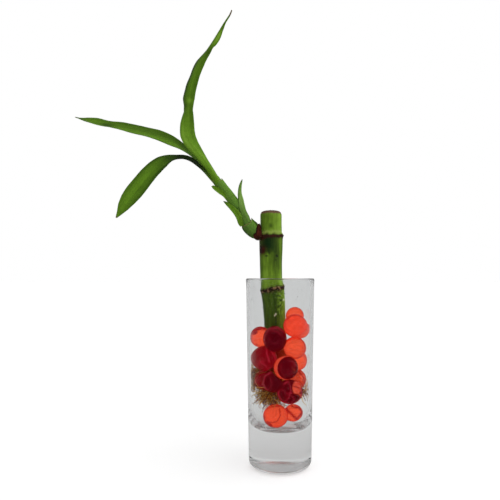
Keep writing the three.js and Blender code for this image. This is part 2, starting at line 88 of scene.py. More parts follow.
# Dried drops on the glass as (lowest, highest, first angle, last angle, count)
SPECK_PATCHES = [
    (88, 103, 0, 360, 120), (40, 88, 164, 196, 34), (40, 88, -14, 12, 44), (26, 34, 150, 390, 26),
]
SPECK_SEED = 5
SPECK_SIDES = 8
SPECK_SIZE = 0.08
SPECK_GROWTH = 0.26
SPECK_DEPTH = 0.02

# The cane's centre line as (height, x, y), and its sections as (height, radius, slope to the right)
CANE_LINE = [
    (54, -1.4, 7.7), (76, -2.3, 8.2), (93, -3.2, 8.6), (100, -4.0, 8.8), (105, -4.6, 8.9), (115, -4.8, 9),
    (147, -4.8, 9),
]
CANE_SECTIONS = [
    (54.6, 5.7, 0), (55.5, 6.2, 0), (68, 6.3, 0), (83, 6.3, 0.02), (91, 6.55, 0.05), (96.5, 6.75, 0.12),
    (98.8, 6.9, 0.16), (99.8, 7.2, 0.16), (100.8, 7.15, 0.16), (101.8, 6.6, 0.16), (104, 6.35, 0.1),
    (109, 6.35, 0), (116, 6.45, 0), (123, 6.7, 0), (128.5, 6.8, 0.01), (130.6, 6.9, 0.02),
    (131.9, 6.7, 0.02), (133.2, 6.25, 0.02), (139, 6.15, 0), (142.8, 6.2, 0), (143.9, 6.1, 0),
    (144.8, 5.5, 0),
]
CANE_FOOT = 54.6
CANE_TOP = 144.8
CANE_ROWS = 330
CANE_SIDES = 144
CANE_SWELL_SHIFT = Vector((3.1, 8.2, 1.7))
CANE_END_RINGS = [(0.94, 0.25), (0.8, 0.6), (0.55, 0.9), (0.25, 1.0)]
LOWER_CANE_RADIUS = 6.3
UPPER_RING = 131.4
LOWER_RING = 100.6
CANE_MARK = 136.5
CANE_DRY_RIM = (143.3, 144.2)
CANE_SCAR = 122.6

# Dark specks and pale flecks on the cane's near side, as (across, height, wide, high)
CANE_SPECKS = [
    (0.46, 119.4, 0.09, 0.55), (0.53, 118.9, 0.05, 0.35), (0.4, 116.9, 0.05, 0.3),
    (-0.42, 119.2, 0.12, 0.35), (0.6, 93.5, 0.09, 0.7), (0.55, 96.0, 0.07, 0.4), (0.3, 98.4, 0.06, 0.3),
    (0.5, 90.6, 0.05, 0.3),
]
CANE_FLECKS = [(0.86, 93.6, 0.07, 0.5), (0.08, 86.0, 0.06, 0.5), (-0.02, 85.2, 0.05, 0.4)]
SPECK_DARK = (0.012, 0.014, 0.008)
FLECK_PALE = (0.75, 0.72, 0.5)

# The side shoot from the cane to its mouth, as (x, y, z, radius)
SHOOT = [
    (-8.5, 8.1, 130.9, 3.1), (-11.6, 7.6, 132.1, 3.4), (-14.7, 7.4, 133.5, 3.7), (-17.2, 7.2, 135.8, 3.6),
    (-18.9, 7.1, 138.0, 3.2), (-21.6, 6.8, 142.7, 2.9), (-24.2, 6.6, 147.6, 2.75),
    (-26.9, 6.4, 151.3, 2.65), (-29.4, 6.3, 154.6, 2.6), (-32.6, 6.2, 158.6, 2.5),
    (-35.0, 6.1, 161.5, 2.4), (-37.1, 6.0, 164.3, 2.2),
]
SHOOT_FLATNESS = 0.88
SHOOT_ROWS = 90
SHOOT_SIDES = 72

# The shoot's clasping sheaths as (start along the shoot, radii, rim), and each rim as
# (angle, distance along the shoot, lift off the stem); angle 0 is the right, 90 the far side.
SHEATHS = [
    (0.0, (3.1, 3.45, 3.85, 3.95, 3.75), [
        (0, 14.6, 0.5), (20, 13.8, 0.4), (42, 12.6, 0.2), (65, 12.2, 0.1), (120, 12.8, 0.1),
        (180, 12.7, 0.15), (225, 12.9, 0.1), (270, 13.4, 0.05), (315, 13.0, 0.1), (332, 13.2, 0.2),
        (348, 14.0, 0.4),
    ]),
    (11.0, (3.5, 3.2, 3.15, 3.15), [
        (0, 18.5, 0.0), (60, 19, 0.0), (130, 21.5, 0.05), (170, 22.5, 0.1), (222, 22.4, 0.1),
        (262, 21.0, 0.05), (310, 19.0, 0.0),
    ]),
    (23.5, (3.1, 3.0, 2.95, 2.9), [
        (0, 31, 0.0), (80, 31, 0.0), (140, 33.5, 0.1), (180, 35.0, 0.15), (225, 34.0, 0.1),
        (300, 31.5, 0.0),
    ]),
    (30.5, (2.95, 2.9, 2.75, 2.55), [
        (0, 41.6, 0.25), (10, 42.9, 0.5), (22, 41.5, 0.2), (90, 42.5, 0.05), (180, 45.3, 0.2),
        (225, 45.1, 0.1), (270, 44.2, 0.05), (330, 43.0, 0.1), (350, 41.8, 0.2),
    ]),
]
SHEATH_WALL = 0.28
SHEATH_SIDES = 120
SHEATH_ROWS = 44

# The dried red scale in the fork, and the young rolled leaf, as (x, y, z, half width, half depth),
# and the leaf's groove as (angle, width) in degrees
RED_SCALE = [
    (-13.1, 5.0, 128.3, 0.7, 0.6), (-12.9, 4.9, 129.0, 1.5, 1.1), (-12.7, 4.6, 130.4, 2.3, 1.5),
    (-12.2, 4.7, 132.6, 2.1, 1.5), (-11.9, 5.4, 135.2, 1.5, 1.4), (-11.8, 6.4, 137.1, 0.8, 1.0),
    (-11.6, 6.8, 137.9, 0.3, 0.4),
]
SPEAR_LEAF = [
    (-17.9, 6.2, 138.6, 1.5, 1.9), (-19.1, 5.7, 141.1, 2.0, 1.7), (-21.0, 5.2, 144.5, 2.1, 1.5),
    (-21.9, 4.9, 148.0, 2.0, 1.5), (-22.3, 4.9, 151.4, 1.65, 1.3), (-22.9, 5.1, 155.4, 1.15, 1.1),
    (-22.6, 5.2, 159.4, 0.87, 0.8), (-21.8, 5.3, 162.3, 0.45, 0.4), (-21.4, 5.3, 163.4, 0.12, 0.12),
]
HORN_ROWS = 90
GROOVE = (285, 14)

# The loose tips of the shoot's sheaths, as small blades listed like the leaves below
BRACTS = [
    {
        "stations": [
            (-13.9, 6.6, 135.4, 2.3, 0, 60), (-14.3, 6.3, 137.2, 2.0, 0, 60),
            (-15.0, 6.2, 138.7, 1.25, 0, 60), (-15.6, 6.1, 140.0, 0.55, 0, 60),
            (-16.0, 6.0, 141.0, 0.1, 0, 60),
        ],
        "base": 0.4,
        "shades": [(0.6, -0.8, 0.5, 0.5, -0.12)],
    },
    {
        "stations": [
            (-21.6, 5.2, 136.6, 1.2, 0, 120), (-22.4, 4.5, 138.2, 1.75, 0, 120),
            (-23.3, 4.1, 141.1, 1.9, 0, 115), (-24.9, 4.1, 144.0, 1.9, 0, 105),
            (-27.1, 4.6, 146.5, 1.6, 0, 95), (-30.0, 5.2, 149.2, 1.15, 0, 80),
            (-32.3, 5.6, 150.8, 0.15, 0, 60),
        ],
        "base": 0.62,
        "shades": [(0.98, 0.0, 0.1, 2.0, -0.25), (0.5, 0.8, 0.4, 0.3, 0.12)],
    },
    {
        "stations": [
            (-30.4, 5.0, 152.2, 0.9, 0, 110), (-31.7, 4.4, 154.0, 1.2, 0, 110),
            (-33.8, 4.2, 155.8, 1.55, 0, 100), (-36.4, 4.6, 157.7, 1.35, 0, 85),
            (-38.2, 5.2, 159.0, 0.9, 0, 70), (-39.2, 5.5, 159.3, 0.12, 0, 60),
        ],
        "base": 0.64,
        "shades": [(0.6, -0.8, 0.3, 0.3, 0.12)],
    },
]
BRACT_ROWS = 70
BRACT_COLUMNS = 16

# The three long leaves as (x, y, z, half width, roll, wrap): the midrib's place, half the
# blade's width, its turn about the midrib and the angle that its section bends through.
# Each shade is a soft patch painted lighter or darker as (along, across, reach along, reach across,
# amount): painted light and shade, such as the drooping leaf's shaded arch, with some of the leaf's own
# tone. Each nick takes a share off one side as (along, side, reach, share), or adds it where it is
# negative.
# The wave is the edge's ripple as (height, count), and the stalk is a thicker foot.
LEAVES = {
    "leaf_upright": {
        "stations": [
            (-34.4, 4.8, 161.6, 2.6, -130, 170), (-36.4, 4.5, 165.0, 2.7, -136, 160),
            (-40.2, 4.4, 170.7, 2.8, -144, 130), (-43.6, 4.8, 175.2, 3.0, -152, 105),
            (-47.6, 5.5, 180.3, 3.5, -163, 80), (-51.0, 6.2, 185.0, 4.1, -172, 60),
            (-53.1, 6.8, 189.8, 4.5, -180, 50), (-53.6, 7.2, 196.0, 4.3, -192, 50),
            (-53.2, 7.5, 203.6, 3.9, -220, 50), (-52.8, 7.0, 210.4, 4.3, -206, 50),
            (-51.5, 6.0, 217.0, 4.1, -208, 50), (-49.3, 4.5, 223.3, 4.3, -222, 55),
            (-45.9, 3.0, 229.7, 4.0, -218, 60), (-40.9, 1.5, 235.9, 3.2, -226, 60),
            (-36.1, 0.0, 242.1, 2.5, -213, 60), (-33.5, -1.0, 246.2, 1.3, -205, 60),
            (-31.1, -2.0, 250.2, 0.62, -200, 50), (-28.2, -3.0, 254.3, 0.5, -200, 40),
            (-27.2, -3.3, 256.6, 0.35, -200, 30),
        ],
        "wave": (0.35, 4),
        "stalk": 0.3,
        "slot": "leaf_light",
        "base": 0.62,
        "shades": [
            (0.2, 0.1, 0.2, 2.0, 0.08), (0.3, 0.5, 0.08, 0.4, 0.18), (0.62, 0.9, 0.14, 0.5, -0.3),
            (0.85, 0.0, 0.1, 2.0, -0.14), (0.49, -0.3, 0.014, 0.5, 0.16), (0.47, 0.4, 0.012, 0.5, -0.12),
            (0.4, -0.75, 0.3, 0.25, -0.14), (0.8, -0.35, 0.05, 0.7, 0.36), (0.72, -0.5, 0.02, 0.6, -0.2),
            (0.6, 0.9, 0.1, 0.4, -0.2),
        ],
        "dry": 0.925,
        "nicks": [
            (0.655, 1, 0.018, -0.14), (0.595, 1, 0.018, 0.16), (0.51, 1, 0.018, -0.1),
            (0.47, 1, 0.012, 0.12), (0.74, -1, 0.012, 0.2),
        ],
    },
    "leaf_left": {
        "stations": [
            (-35.6, 6.5, 160.6, 2.4, 40, 110), (-38.2, 6.8, 164.9, 2.5, 40, 95),
            (-42.3, 7.6, 170.4, 2.3, 44, 85), (-46.6, 8.7, 174.5, 2.5, 52, 78),
            (-51.8, 10.1, 178.9, 3.3, 54, 70), (-57.1, 10.5, 182.7, 4.1, 50, 62),
            (-63.6, 11.0, 186.2, 4.6, 44, 58), (-72.4, 11.6, 189.8, 5.2, 41, 56),
            (-82.0, 12.3, 192.6, 5.1, 43, 56), (-89.8, 12.8, 194.5, 4.3, 47, 58),
            (-96.5, 13.4, 195.9, 4.3, 47, 60), (-102.5, 13.8, 197.2, 3.9, 46, 60),
            (-108.0, 14.2, 198.7, 3.3, 44, 55), (-114.1, 14.6, 200.0, 2.3, 44, 50),
            (-118.3, 14.9, 201.2, 0.7, 50, 40), (-120.6, 15.0, 201.9, 0.35, 50, 30),
        ],
        "wave": (0.4, 5),
        "stalk": 0.4,
        "slot": "leaf_dark",
        "base": 0.56,
        "shades": [
            (0.45, 0.75, 0.3, 0.6, -0.13), (0.45, -0.5, 0.25, 0.5, 0.04), (0.72, -0.2, 0.04, 0.6, -0.22),
            (0.08, 0.0, 0.14, 2.0, 0.32), (0.95, 0.0, 0.08, 2.0, -0.18),
        ],
        "nicks": [(0.66, -1, 0.018, -0.14), (0.7, -1, 0.012, 0.16)],
    },
    "leaf_drooping": {
        "stations": [
            (-36.4, 6.3, 160.4, 1.7, 80, 100), (-39.2, 6.8, 163.6, 1.7, 78, 90),
            (-43.8, 6.3, 168.8, 1.9, 72, 88), (-47.0, 5.5, 171.5, 2.1, 66, 92),
            (-50.5, 4.6, 173.8, 2.4, 61, 95), (-54.4, 3.4, 175.0, 2.6, 58, 90),
            (-58.6, 2.6, 174.9, 3.2, 53, 80), (-62.8, 1.7, 173.9, 4.0, 42, 66),
            (-66.6, 0.8, 171.8, 4.6, 28, 52), (-70.7, -0.4, 168.3, 5.0, 18, 42),
            (-74.7, -1.8, 163.9, 5.1, 10, 38), (-78.2, -3.0, 159.2, 5.1, 8, 36),
            (-81.7, -4.2, 154.3, 5.1, 8, 36), (-84.7, -5.2, 150.0, 4.6, 8, 38),
            (-87.2, -6.0, 146.1, 3.5, 8, 40), (-89.3, -6.6, 142.6, 1.7, 8, 40),
            (-91.1, -7.0, 139.9, 0.4, 8, 30),
        ],
        "wave": (0.3, 4),
        "stalk": 1.0,
        "slot": "leaf_dark",
        "base": 0.565,
        "shades": [
            (0.3, 0.0, 0.12, 3.0, -0.75), (0.17, 0.0, 0.06, 3.0, -0.3), (0.5, 0.0, 0.1, 2.0, -0.1),
            (0.62, 0.15, 0.2, 0.22, 0.08), (0.66, -0.9, 0.25, 0.35, -0.22), (0.6, 0.95, 0.2, 0.2, -0.14),
        ],
    },
}
LEAF_ROWS = 300
LEAF_COLUMNS = 28
LEAF_MIDDLE_THICKNESS = 0.62
LEAF_EDGE_THICKNESS = 0.16
LEAF_DRY_START = 0.975

# The gel beads, numbered from the top down
BEAD_SEED = 3
BEAD_COUNT = 15
BEAD_DETAIL = 5
BEAD_UNEVENNESS = 0.014
BEAD_SWELLING = 1.06
BEAD_CONTACT_GAP = 0.06
BEAD_SOFTNESS = 0.5
BEAD_GIVE = 0.2
WALL_GIVE = 0.9
NEIGHBOUR_REACH = 1.1

# How far some beads depart from round balls, as (wide, deep, high), and how far they have sunk
# or slipped, as (x, y, z). A firm bead presses into its neighbours and isn't pressed itself.
BEAD_STRETCHES = {
    1: (1.04, 1.0, 0.98), 2: (1.04, 1.0, 1.04), 3: (0.98, 1.0, 0.95), 4: (1.05, 1.0, 1.05),
    5: (1.02, 1.0, 1.13), 7: (1.1, 1.0, 1.07), 8: (1.06, 1.0, 1.06), 9: (1.03, 1.0, 1.03),
    10: (1.08, 1.0, 1.08), 12: (1.15, 1.0, 1.15), 13: (1.1, 1.0, 1.06), 14: (1.05, 1.0, 1.1),
    15: (1.06, 1.0, 1.08),
}
BEAD_SHIFTS = {
    1: (0.3, 0, -0.6), 2: (0.4, 0, 0.3), 6: (-0.5, 0, -0.3), 9: (-0.6, 0, -0.2), 12: (0.6, 0, 0.7),
    13: (-0.6, 0, 0.2), 15: (0.3, 0, -0.4),
}
FIRM_BEADS = [9]

# Tones in the gel, as the colour that it lets through and a painted glow that stands in for the light
# coming through it. The ruby, deep and dark tones are painted shade, the edge tone paints dark rims and
# lines, and the pink and clear tones paint lighter lines and patches of light.
GEL_TONES = {
    "bright": ((1, 0.5, 0.3), (0.27, 0.057, 0.027)),
    "full": ((0.5, 0.25, 0.15), (0.44, 0.088, 0.043)),
    "clear": ((0.9, 0.4, 0.2), (0.66, 0.115, 0.06)),
    "ruby": ((0.2, 0.01, 0.02), (0.16, 0.001, 0.006)),
    "deep": ((0.12, 0.004, 0.01), (0.085, 0.0, 0.004)),
    "dark": ((0.04, 0.002, 0.006), (0.06, 0.0, 0.003)),
    "edge": ((0.08, 0.003, 0.01), (0.2, 0.002, 0.01)),
    "pink": ((0.5, 0.08, 0.1), (0.42, 0.03, 0.07)),
}
# Beads painted in the darker tones, as painted shade from the cane, the roots and other beads behind them
BEAD_TONES = {2: "full", 5: "deep", 7: "ruby", 9: "dark", 11: "ruby", 12: "deep", 13: "deep"}

# Round patches and lines painted on the near side of the gel, as painted light and shade: the ruby,
# dark, deep and edge tones paint shade and dark rims, and the pink and clear tones paint light.
# A patch is (x, z, wide, high, softness, tone, strength) and a line is (points, width, tone,
# strength), all out of the bead's radius.
BEAD_PATCHES = {
    4: [(-0.58, 0.58, 0.34, 0.3, 0.4, "deep", 1.0), (-0.2, 0.85, 0.3, 0.16, 0.3, "deep", 1.0)],
    5: [(-0.05, -0.05, 0.55, 0.6, 0.5, "dark", 0.8)],
    7: [(0.1, 0.05, 0.8, 0.8, 0.5, "deep", 0.6)],
    9: [
        (0.0, 0.0, 1.1, 1.1, 0.05, "clear", 1.0), (0.13, 0.04, 0.86, 0.92, 0.05, "deep", 1.0),
        (0.5, 0.4, 0.2, 0.3, 0.6, "ruby", 0.5), (0.2, -0.25, 0.25, 0.25, 0.4, "dark", 0.8),
    ],
    12: [(0.0, 0.0, 0.7, 0.7, 0.5, "dark", 0.7)],
    13: [(0.52, 0.45, 0.36, 0.45, 0.25, "clear", 0.95), (0.3, -0.3, 0.45, 0.35, 0.4, "dark", 0.8)],
    14: [(-0.66, -0.56, 0.36, 0.3, 0.3, "edge", 0.7)],
    15: [(-0.8, 0.35, 0.3, 0.4, 0.4, "edge", 0.6)],
}
BEAD_LINES = {
    1: [([(-0.7, -0.3), (0.0, -0.1), (0.7, -0.3)], 0.05, "edge", 0.3)],
    2: [
        ([(-0.8, 0.5), (-0.35, 0.86), (0.2, 0.93), (0.6, 0.7)], 0.04, "edge", 0.7),
        ([(-0.85, 0.45), (-0.9, 0.0), (-0.7, -0.3)], 0.04, "edge", 0.5),
        ([(-0.2, 0.1), (0.3, 0.0), (0.5, -0.3)], 0.04, "edge", 0.25),
    ],
    3: [([(0.6, 0.6), (0.98, 0.2)], 0.06, "edge", 0.8), ([(0.6, 0.2), (0.7, -0.1)], 0.05, "edge", 0.8)],
    4: [
        ([(-0.92, -0.35), (-0.92, 0.2), (-0.6, 0.72), (-0.05, 0.93), (0.5, 0.8)], 0.16, "edge", 1.0),
        ([(-0.35, -0.65), (-0.45, -0.9)], 0.08, "edge", 0.9),
    ],
    5: [
        ([(-0.5, 0.2), (-0.35, -0.2), (0.05, -0.3), (0.25, -0.05)], 0.05, "pink", 0.3),
        ([(-0.3, 0.7), (0.2, 0.6), (0.5, 0.3)], 0.05, "pink", 0.35),
        ([(-0.85, -0.4), (-0.9, 0.2), (-0.5, 0.78), (0.2, 0.9), (0.8, 0.5)], 0.05, "pink", 0.45),
    ],
    6: [
        ([(-0.55, -0.25), (-0.2, -0.5), (0.3, -0.55), (0.6, -0.2), (0.62, 0.3)], 0.04, "edge", 0.4),
        ([(-0.5, 0.1), (-0.2, -0.1), (0.2, -0.1)], 0.04, "edge", 0.5),
        ([(-0.5, 0.5), (0.1, 0.6)], 0.05, "edge", 0.25), ([(0.2, -0.9), (0.4, -0.82)], 0.08, "edge", 0.9),
    ],
    7: [
        ([(-0.35, -0.1), (0.1, -0.5), (0.3, -0.9)], 0.04, "pink", 0.7),
        ([(0.2, 0.9), (0.15, 0.5), (0.3, 0.1), (0.35, -0.2)], 0.04, "pink", 0.8),
        ([(-0.6, -0.55), (-0.1, -0.1)], 0.12, "pink", 0.2),
        ([(0.5, 0.68), (0.8, 0.2), (0.85, -0.2)], 0.035, "pink", 0.8),
        ([(-0.7, -0.65), (-0.97, -0.1), (-0.85, 0.5), (-0.4, 0.9)], 0.14, "edge", 0.8),
    ],
    8: [([(0.2, 0.7), (0.8, 0.3), (0.9, -0.3)], 0.05, "edge", 0.5)],
    9: [
        ([(0.05, -0.1), (0.35, -0.1), (0.4, -0.4), (0.1, -0.42), (0.05, -0.1)], 0.04, "pink", 0.35),
        ([(0.52, 0.02), (0.62, -0.02), (0.68, -0.14)], 0.035, "clear", 0.45),
        ([(0.1, 0.7), (0.5, 0.6), (0.8, 0.2)], 0.05, "pink", 0.35),
        ([(-0.4, 0.45), (-0.45, -0.1), (-0.2, -0.6)], 0.05, "pink", 0.2),
    ],
    10: [
        ([(-0.6, 0.5), (0.4, 0.9)], 0.05, "edge", 0.7),
        ([(0.2, 0.8), (0.8, 0.0), (0.6, -0.8)], 0.06, "edge", 0.7),
        ([(-0.4, 0.1), (0.25, -0.1), (0.7, -0.7)], 0.06, "edge", 0.6),
    ],
    11: [
        ([(-0.5, -0.8), (-0.88, -0.2), (-0.75, 0.5)], 0.06, "pink", 0.5),
        ([(-0.2, 0.6), (-0.5, 0.0), (-0.2, -0.6)], 0.06, "dark", 0.7),
    ],
    12: [
        ([(-0.5, -0.78), (-0.9, -0.1), (-0.7, 0.58), (-0.2, 0.88)], 0.05, "pink", 0.7),
        ([(-0.3, 0.5), (-0.1, -0.1), (-0.4, -0.6)], 0.05, "pink", 0.3),
    ],
    13: [
        ([(0.2, 0.6), (0.6, 0.45), (0.95, 0.2)], 0.05, "edge", 0.8),
        ([(0.3, 0.12), (0.6, 0.0), (0.9, -0.3)], 0.07, "clear", 0.8),
        ([(-0.1, 0.9), (0.05, 0.3), (-0.1, -0.3), (-0.4, -0.7)], 0.04, "pink", 0.5),
        ([(0.85, 0.3), (0.88, -0.2), (0.58, -0.7), (0.0, -0.9), (-0.58, -0.7)], 0.045, "pink", 0.8),
        ([(-0.58, -0.7), (-0.9, -0.1), (-0.72, 0.55), (-0.2, 0.88)], 0.045, "pink", 0.8),
        ([(-0.6, 0.3), (-0.2, 0.0), (0.1, 0.1)], 0.05, "pink", 0.4),
        ([(0.1, -0.15), (0.35, -0.5), (0.1, -0.7)], 0.045, "pink", 0.4),
    ],
    14: [
        ([(0.27, 0.8), (0.33, 0.3), (0.1, -0.1), (-0.25, -0.24), (-0.6, -0.26)], 0.045, "edge", 1.0),
        ([(0.05, 0.72), (0.0, 0.35), (-0.3, 0.1)], 0.035, "edge", 0.35),
        ([(-0.66, -0.24), (-0.4, -0.46), (-0.22, -0.86)], 0.07, "edge", 1.0),
        ([(-0.9, 0.1), (-0.92, -0.25), (-0.72, -0.65)], 0.08, "edge", 1.0),
        ([(-0.8, -0.45), (-0.48, -0.78), (0.1, -0.9)], 0.07, "edge", 0.9),
        ([(-0.3, 0.9), (0.3, 0.93)], 0.05, "edge", 0.6),
    ],
    15: [
        ([(-0.9, 0.75), (-0.3, 0.2), (0.28, -0.45)], 0.17, "edge", 1.0),
        ([(0.28, -0.45), (0.9, 0.35)], 0.14, "edge", 1.0),
        ([(-0.2, 0.87), (0.5, 0.75), (0.85, 0.3), (0.75, -0.45)], 0.09, "edge", 1.0),
    ],
}
# Dark arcs painted through the gel at random, as painted shade standing in for other beads' edges seen
# through it
PAINTED_ARC_COUNT = 4
PAINTED_ARC_WIDTH = 0.022
PAINTED_ARC_STRENGTH = 0.4
PAINTED_ARC_SPREAD = 0.75
# How unevenly strong the painted glow is
PAINTED_GLOW_UNEVENNESS = 0.25
POINTED_BEAD = 3
POINT_DIRECTION = (0.94, -0.1, 0.2)
POINT_REACH = 0.62
POINT_WIDTH = 0.3
GEL_IOR = 1.34
GEL_SKIN_IOR = 1.03
GEL_SKIN_TINT = (0.86, 0.62, 0.6)

# The fibrous roots, in bundles as (x, y, z, spread, strands, lightness)
ROOT_SEED = 11
ROOT_BUNDLES = [
    (-8.2, -1, 40.5, 3.4, 110, 0.5), (-3.5, -2, 38.5, 3.4, 80, 0.5), (-14.8, 2, 53, 1.8, 48, 0.75),
    (-14.0, 1, 47.0, 2.2, 60, 0.7), (4, 4, 41, 4.5, 40, 0.4), (13.5, 2, 43, 2.6, 50, 0.65),
    (-10, -4, 41.5, 2.4, 24, 0.8), (0, 9, 46, 5.0, 50, 0.4),
]
ROOT_STEP = 1.9
ROOT_STEPS = 15
ROOT_ROOM = 0.35
ROOT_TRIES = 10
ROOT_SIDES = 5
ROOT_THICKNESS = 0.16
ROOT_THICKENING = 0.4
ROOT_TAPER = 0.7


# Small helpers

def clamped(value, low=0.0, high=1.0):
    return min(max(value, low), high)


def span(count, t):
    """Which gap between evenly spaced marks a place from 0 to 1 is in, and how far into it."""
    place = clamped(t) * (count - 1)
    i = min(int(place), count - 2)
    return i, place - i


def linear(colour):
    """The light that a colour out of 255 stands for, as three values from 0 to 1."""
    parts = [c / 255 for c in colour]
    return tuple(c / 12.92 if c <= 0.04045 else ((c + 0.055) / 1.055) ** 2.4 for c in parts)


def mix(a, b, share):
    share = clamped(share)
    return tuple(x + (y - x) * share for x, y in zip(a, b))


def ramp(shades, value):
    """A colour from a list of shades, dark to light, for a value from 0 to 1."""
    i, share = span(len(shades), value)
    return mix(shades[i], shades[i + 1], share)


def interpolated(values, t):
    i, share = span(len(values), t)
    return values[i] + (values[i + 1] - values[i]) * share


def smooth(low, high, value):
    share = clamped((value - low) / (high - low))
    return share * share * (3 - 2 * share)


def bump(value, centre, reach):
    """1 at the centre, falling softly to 0 at the reach."""
    return math.exp(-(((value - centre) / reach) ** 2))


def lookup(rows, value):
    """The row of numbers at a value of the first column, between the listed rows."""
    if value <= rows[0][0]:
        return rows[0][1:]
    for low, high in zip(rows, rows[1:]):
        if value <= high[0]:
            return mix(low[1:], high[1:], (value - low[0]) / (high[0] - low[0]))
    return rows[-1][1:]


def softened(rows, value, reach):
    """The same, averaged over a short reach to both sides."""
    around_value = [lookup(rows, value + reach * k / 2) for k in range(-2, 3)]
    return tuple(sum(column) / len(around_value) for column in zip(*around_value))


def steps(low, high, count):
    """Evenly spaced values above the low one, up to the high one."""
    return [low + (high - low) * i / count for i in range(1, count + 1)]


def ring(sides):
    """The angles of the points of a ring."""
    return [TURN * j / sides for j in range(sides)]


def around(angle, radius, z=0.0):
    """A point at an angle about the upright axis."""
    return Vector((radius * math.cos(angle), radius * math.sin(angle), z))


def cloud(x, y, z):
    """Soft uneven values between -1 and 1."""
    return noise.noise(Vector((x, y, z)))


def ring_cloud(angle, radius, z):
    return noise.noise(around(angle, radius, z))


class Path:
    """A smooth line through points, each at the start of a row of numbers."""

    def __init__(self, rows):
        self.points = [Vector(row[:3]) for row in rows]

    def at(self, t):
        points = self.points
        i, w = span(len(points), t)
        p1, p2 = points[i], points[i + 1]
        p0 = points[i - 1] if i > 0 else p1 * 2 - p2
        p3 = points[i + 2] if i + 2 < len(points) else p2 * 2 - p1
        d0 = (p1 - p0).length ** 0.5
        d1 = (p2 - p1).length ** 0.5
        d2 = (p3 - p2).length ** 0.5
        m1 = ((p1 - p0) / d0 - (p2 - p0) / (d0 + d1) + (p2 - p1) / d1) * d1
        m2 = ((p2 - p1) / d1 - (p3 - p1) / (d1 + d2) + (p3 - p2) / d2) * d1
        square = (p2 - p1) * 3 - m1 * 2 - m2
        cube = (p1 - p2) * 2 + m1 + m2
        return p1 + m1 * w + square * w ** 2 + cube * w ** 3

    def along(self, t):
        return (self.at(t + 0.002) - self.at(t - 0.002)).normalized()

    def frame(self, t):
        """The line's direction at a place, and two directions across it."""
        along = self.along(t)
        side = DEPTH.cross(along).normalized()
        return along, side, along.cross(side)

    def measured(self, samples):
        """Distances along the line, as (distance, place on it from 0 to 1)."""
        rows = [(0.0, 0.0)]
        for i in range(1, samples + 1):
            step = (self.at(i / samples) - self.at((i - 1) / samples)).length
            rows.append((rows[-1][0] + step, i / samples))
        return rows


# Faces and forms

def band_faces(lower, upper, count, closed=True, flip=False):
    """Quads between two rows of points, wrapping round if closed."""
    faces = []
    for j in range(count if closed else count - 1):
        k = (j + 1) % count
        quad = [lower + j, lower + k, upper + k, upper + j]
        faces.append(quad[::-1] if flip else quad)
    return faces


def grid_faces(rows, columns, start=0, closed=False, flip=False):
    faces = []
    for i in range(rows - 1):
        lower = start + i * columns
        faces += band_faces(lower, lower + columns, columns, closed, flip)
    return faces


def ring_face(start, sides, flip=False):
    corners = list(range(start, start + sides))
    return corners[::-1] if flip else corners


def tube_faces(rows, sides, start=0):
    """The faces round a grid of rings, with both of its ends covered."""
    faces = grid_faces(rows, sides, start, True)
    faces.append(ring_face(start, sides, True))
    faces.append(ring_face(start + (rows - 1) * sides, sides))
    return faces


class Form:
    """A piece being built: its points in millimetres, a tint and a grain at each, and its faces."""

    def __init__(self):
        self.points = []
        self.tints = []
        self.grain = []
        self.faces = []

    def add(self, point, tint, grain):
        self.points.append(point)
        self.tints.append(tint)
        self.grain.append(grain)

    def join(self, other):
        start = len(self.points)
        self.points += other.points
        self.tints += other.tints
        self.grain += other.grain
        self.faces += [[start + corner for corner in face] for face in other.faces]


def add_layer(mesh, name, kind, key, values):
    """Keeps a list of numbers for each point of a mesh."""
    layer = mesh.attributes.new(name, kind, "POINT")
    layer.data.foreach_set(key, [part for value in values for part in value])


def placed(name, data):
    made = bpy.data.objects.new(name, data)
    bpy.context.scene.collection.objects.link(made)
    return made


def add_piece(name, form, material, nodes=()):
    """Makes a piece of the plant from its form, and seats it in the frame."""
    mesh = bpy.data.meshes.new(name)
    mesh.from_pydata([Vector(p) * MM for p in form.points], [], form.faces)
    mesh.validate()
    mesh.update()
    if form.tints:
        add_layer(mesh, "tint", "FLOAT_COLOR", "color", [(*tint, 1.0) for tint in form.tints])
    if form.grain:
        add_layer(mesh, "grain", "FLOAT_VECTOR", "vector", form.grain)
    mesh.shade_smooth()
    mesh.materials.append(material)
    piece = placed(name, mesh)
    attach(piece, "root")
    if nodes:
        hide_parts(*nodes)
    return piece


# Colours, named as the eye sees them, red, green and blue out of 255
LEAF_SHADES = [linear(c) for c in [(18, 30, 8), (44, 68, 14), (84, 120, 26), (130, 170, 58)]]
CANE_SHADES = [linear(c) for c in [(16, 38, 14), (48, 66, 20), (86, 114, 30), (128, 162, 54)]]
SPEAR_SHADES = [linear(c) for c in [(40, 58, 22), (92, 126, 52), (136, 168, 88)]]
ROOT_SHADES = [linear(c) for c in [(52, 24, 8), (160, 86, 26), (220, 164, 66), (244, 216, 130)]]
DRY_BROWN = linear((92, 68, 52))
DARK_BROWN = linear((40, 22, 16))
RING_TAN = linear((120, 92, 66))
SCAR_RED = linear((66, 24, 16))
SHOOT_BLUE_GREY = linear((96, 132, 84))
PALE_BAND = linear((150, 160, 84))
# Painted red light from the beads, on the foot of the cane
PAINTED_BEAD_RED_LIGHT = linear((150, 30, 24))
SPEAR_TIP = linear((48, 52, 30))
GLASS_TINT = linear((250, 251, 251))
FLOOR_GREY = linear((202, 202, 202))


# Materials

class Nodes:
    """The nodes of a material or of the surroundings."""

    def __init__(self, owner):
        owner.use_nodes = True
        self.owner = owner
        self.tree = owner.node_tree

    def fill(self, node, inputs):
        """Sets a node's inputs, and links those that another node works out."""
        for key, value in inputs.items():
            if isinstance(value, bpy.types.NodeSocket):
                self.tree.links.new(value, node.inputs[key])
            else:
                node.inputs[key].default_value = value
        return node

    def node(self, kind, inputs=None, **settings):
        made = self.tree.nodes.new("ShaderNode" + kind)
        for key, value in settings.items():
            setattr(made, key, value)
        return self.fill(made, inputs or {})


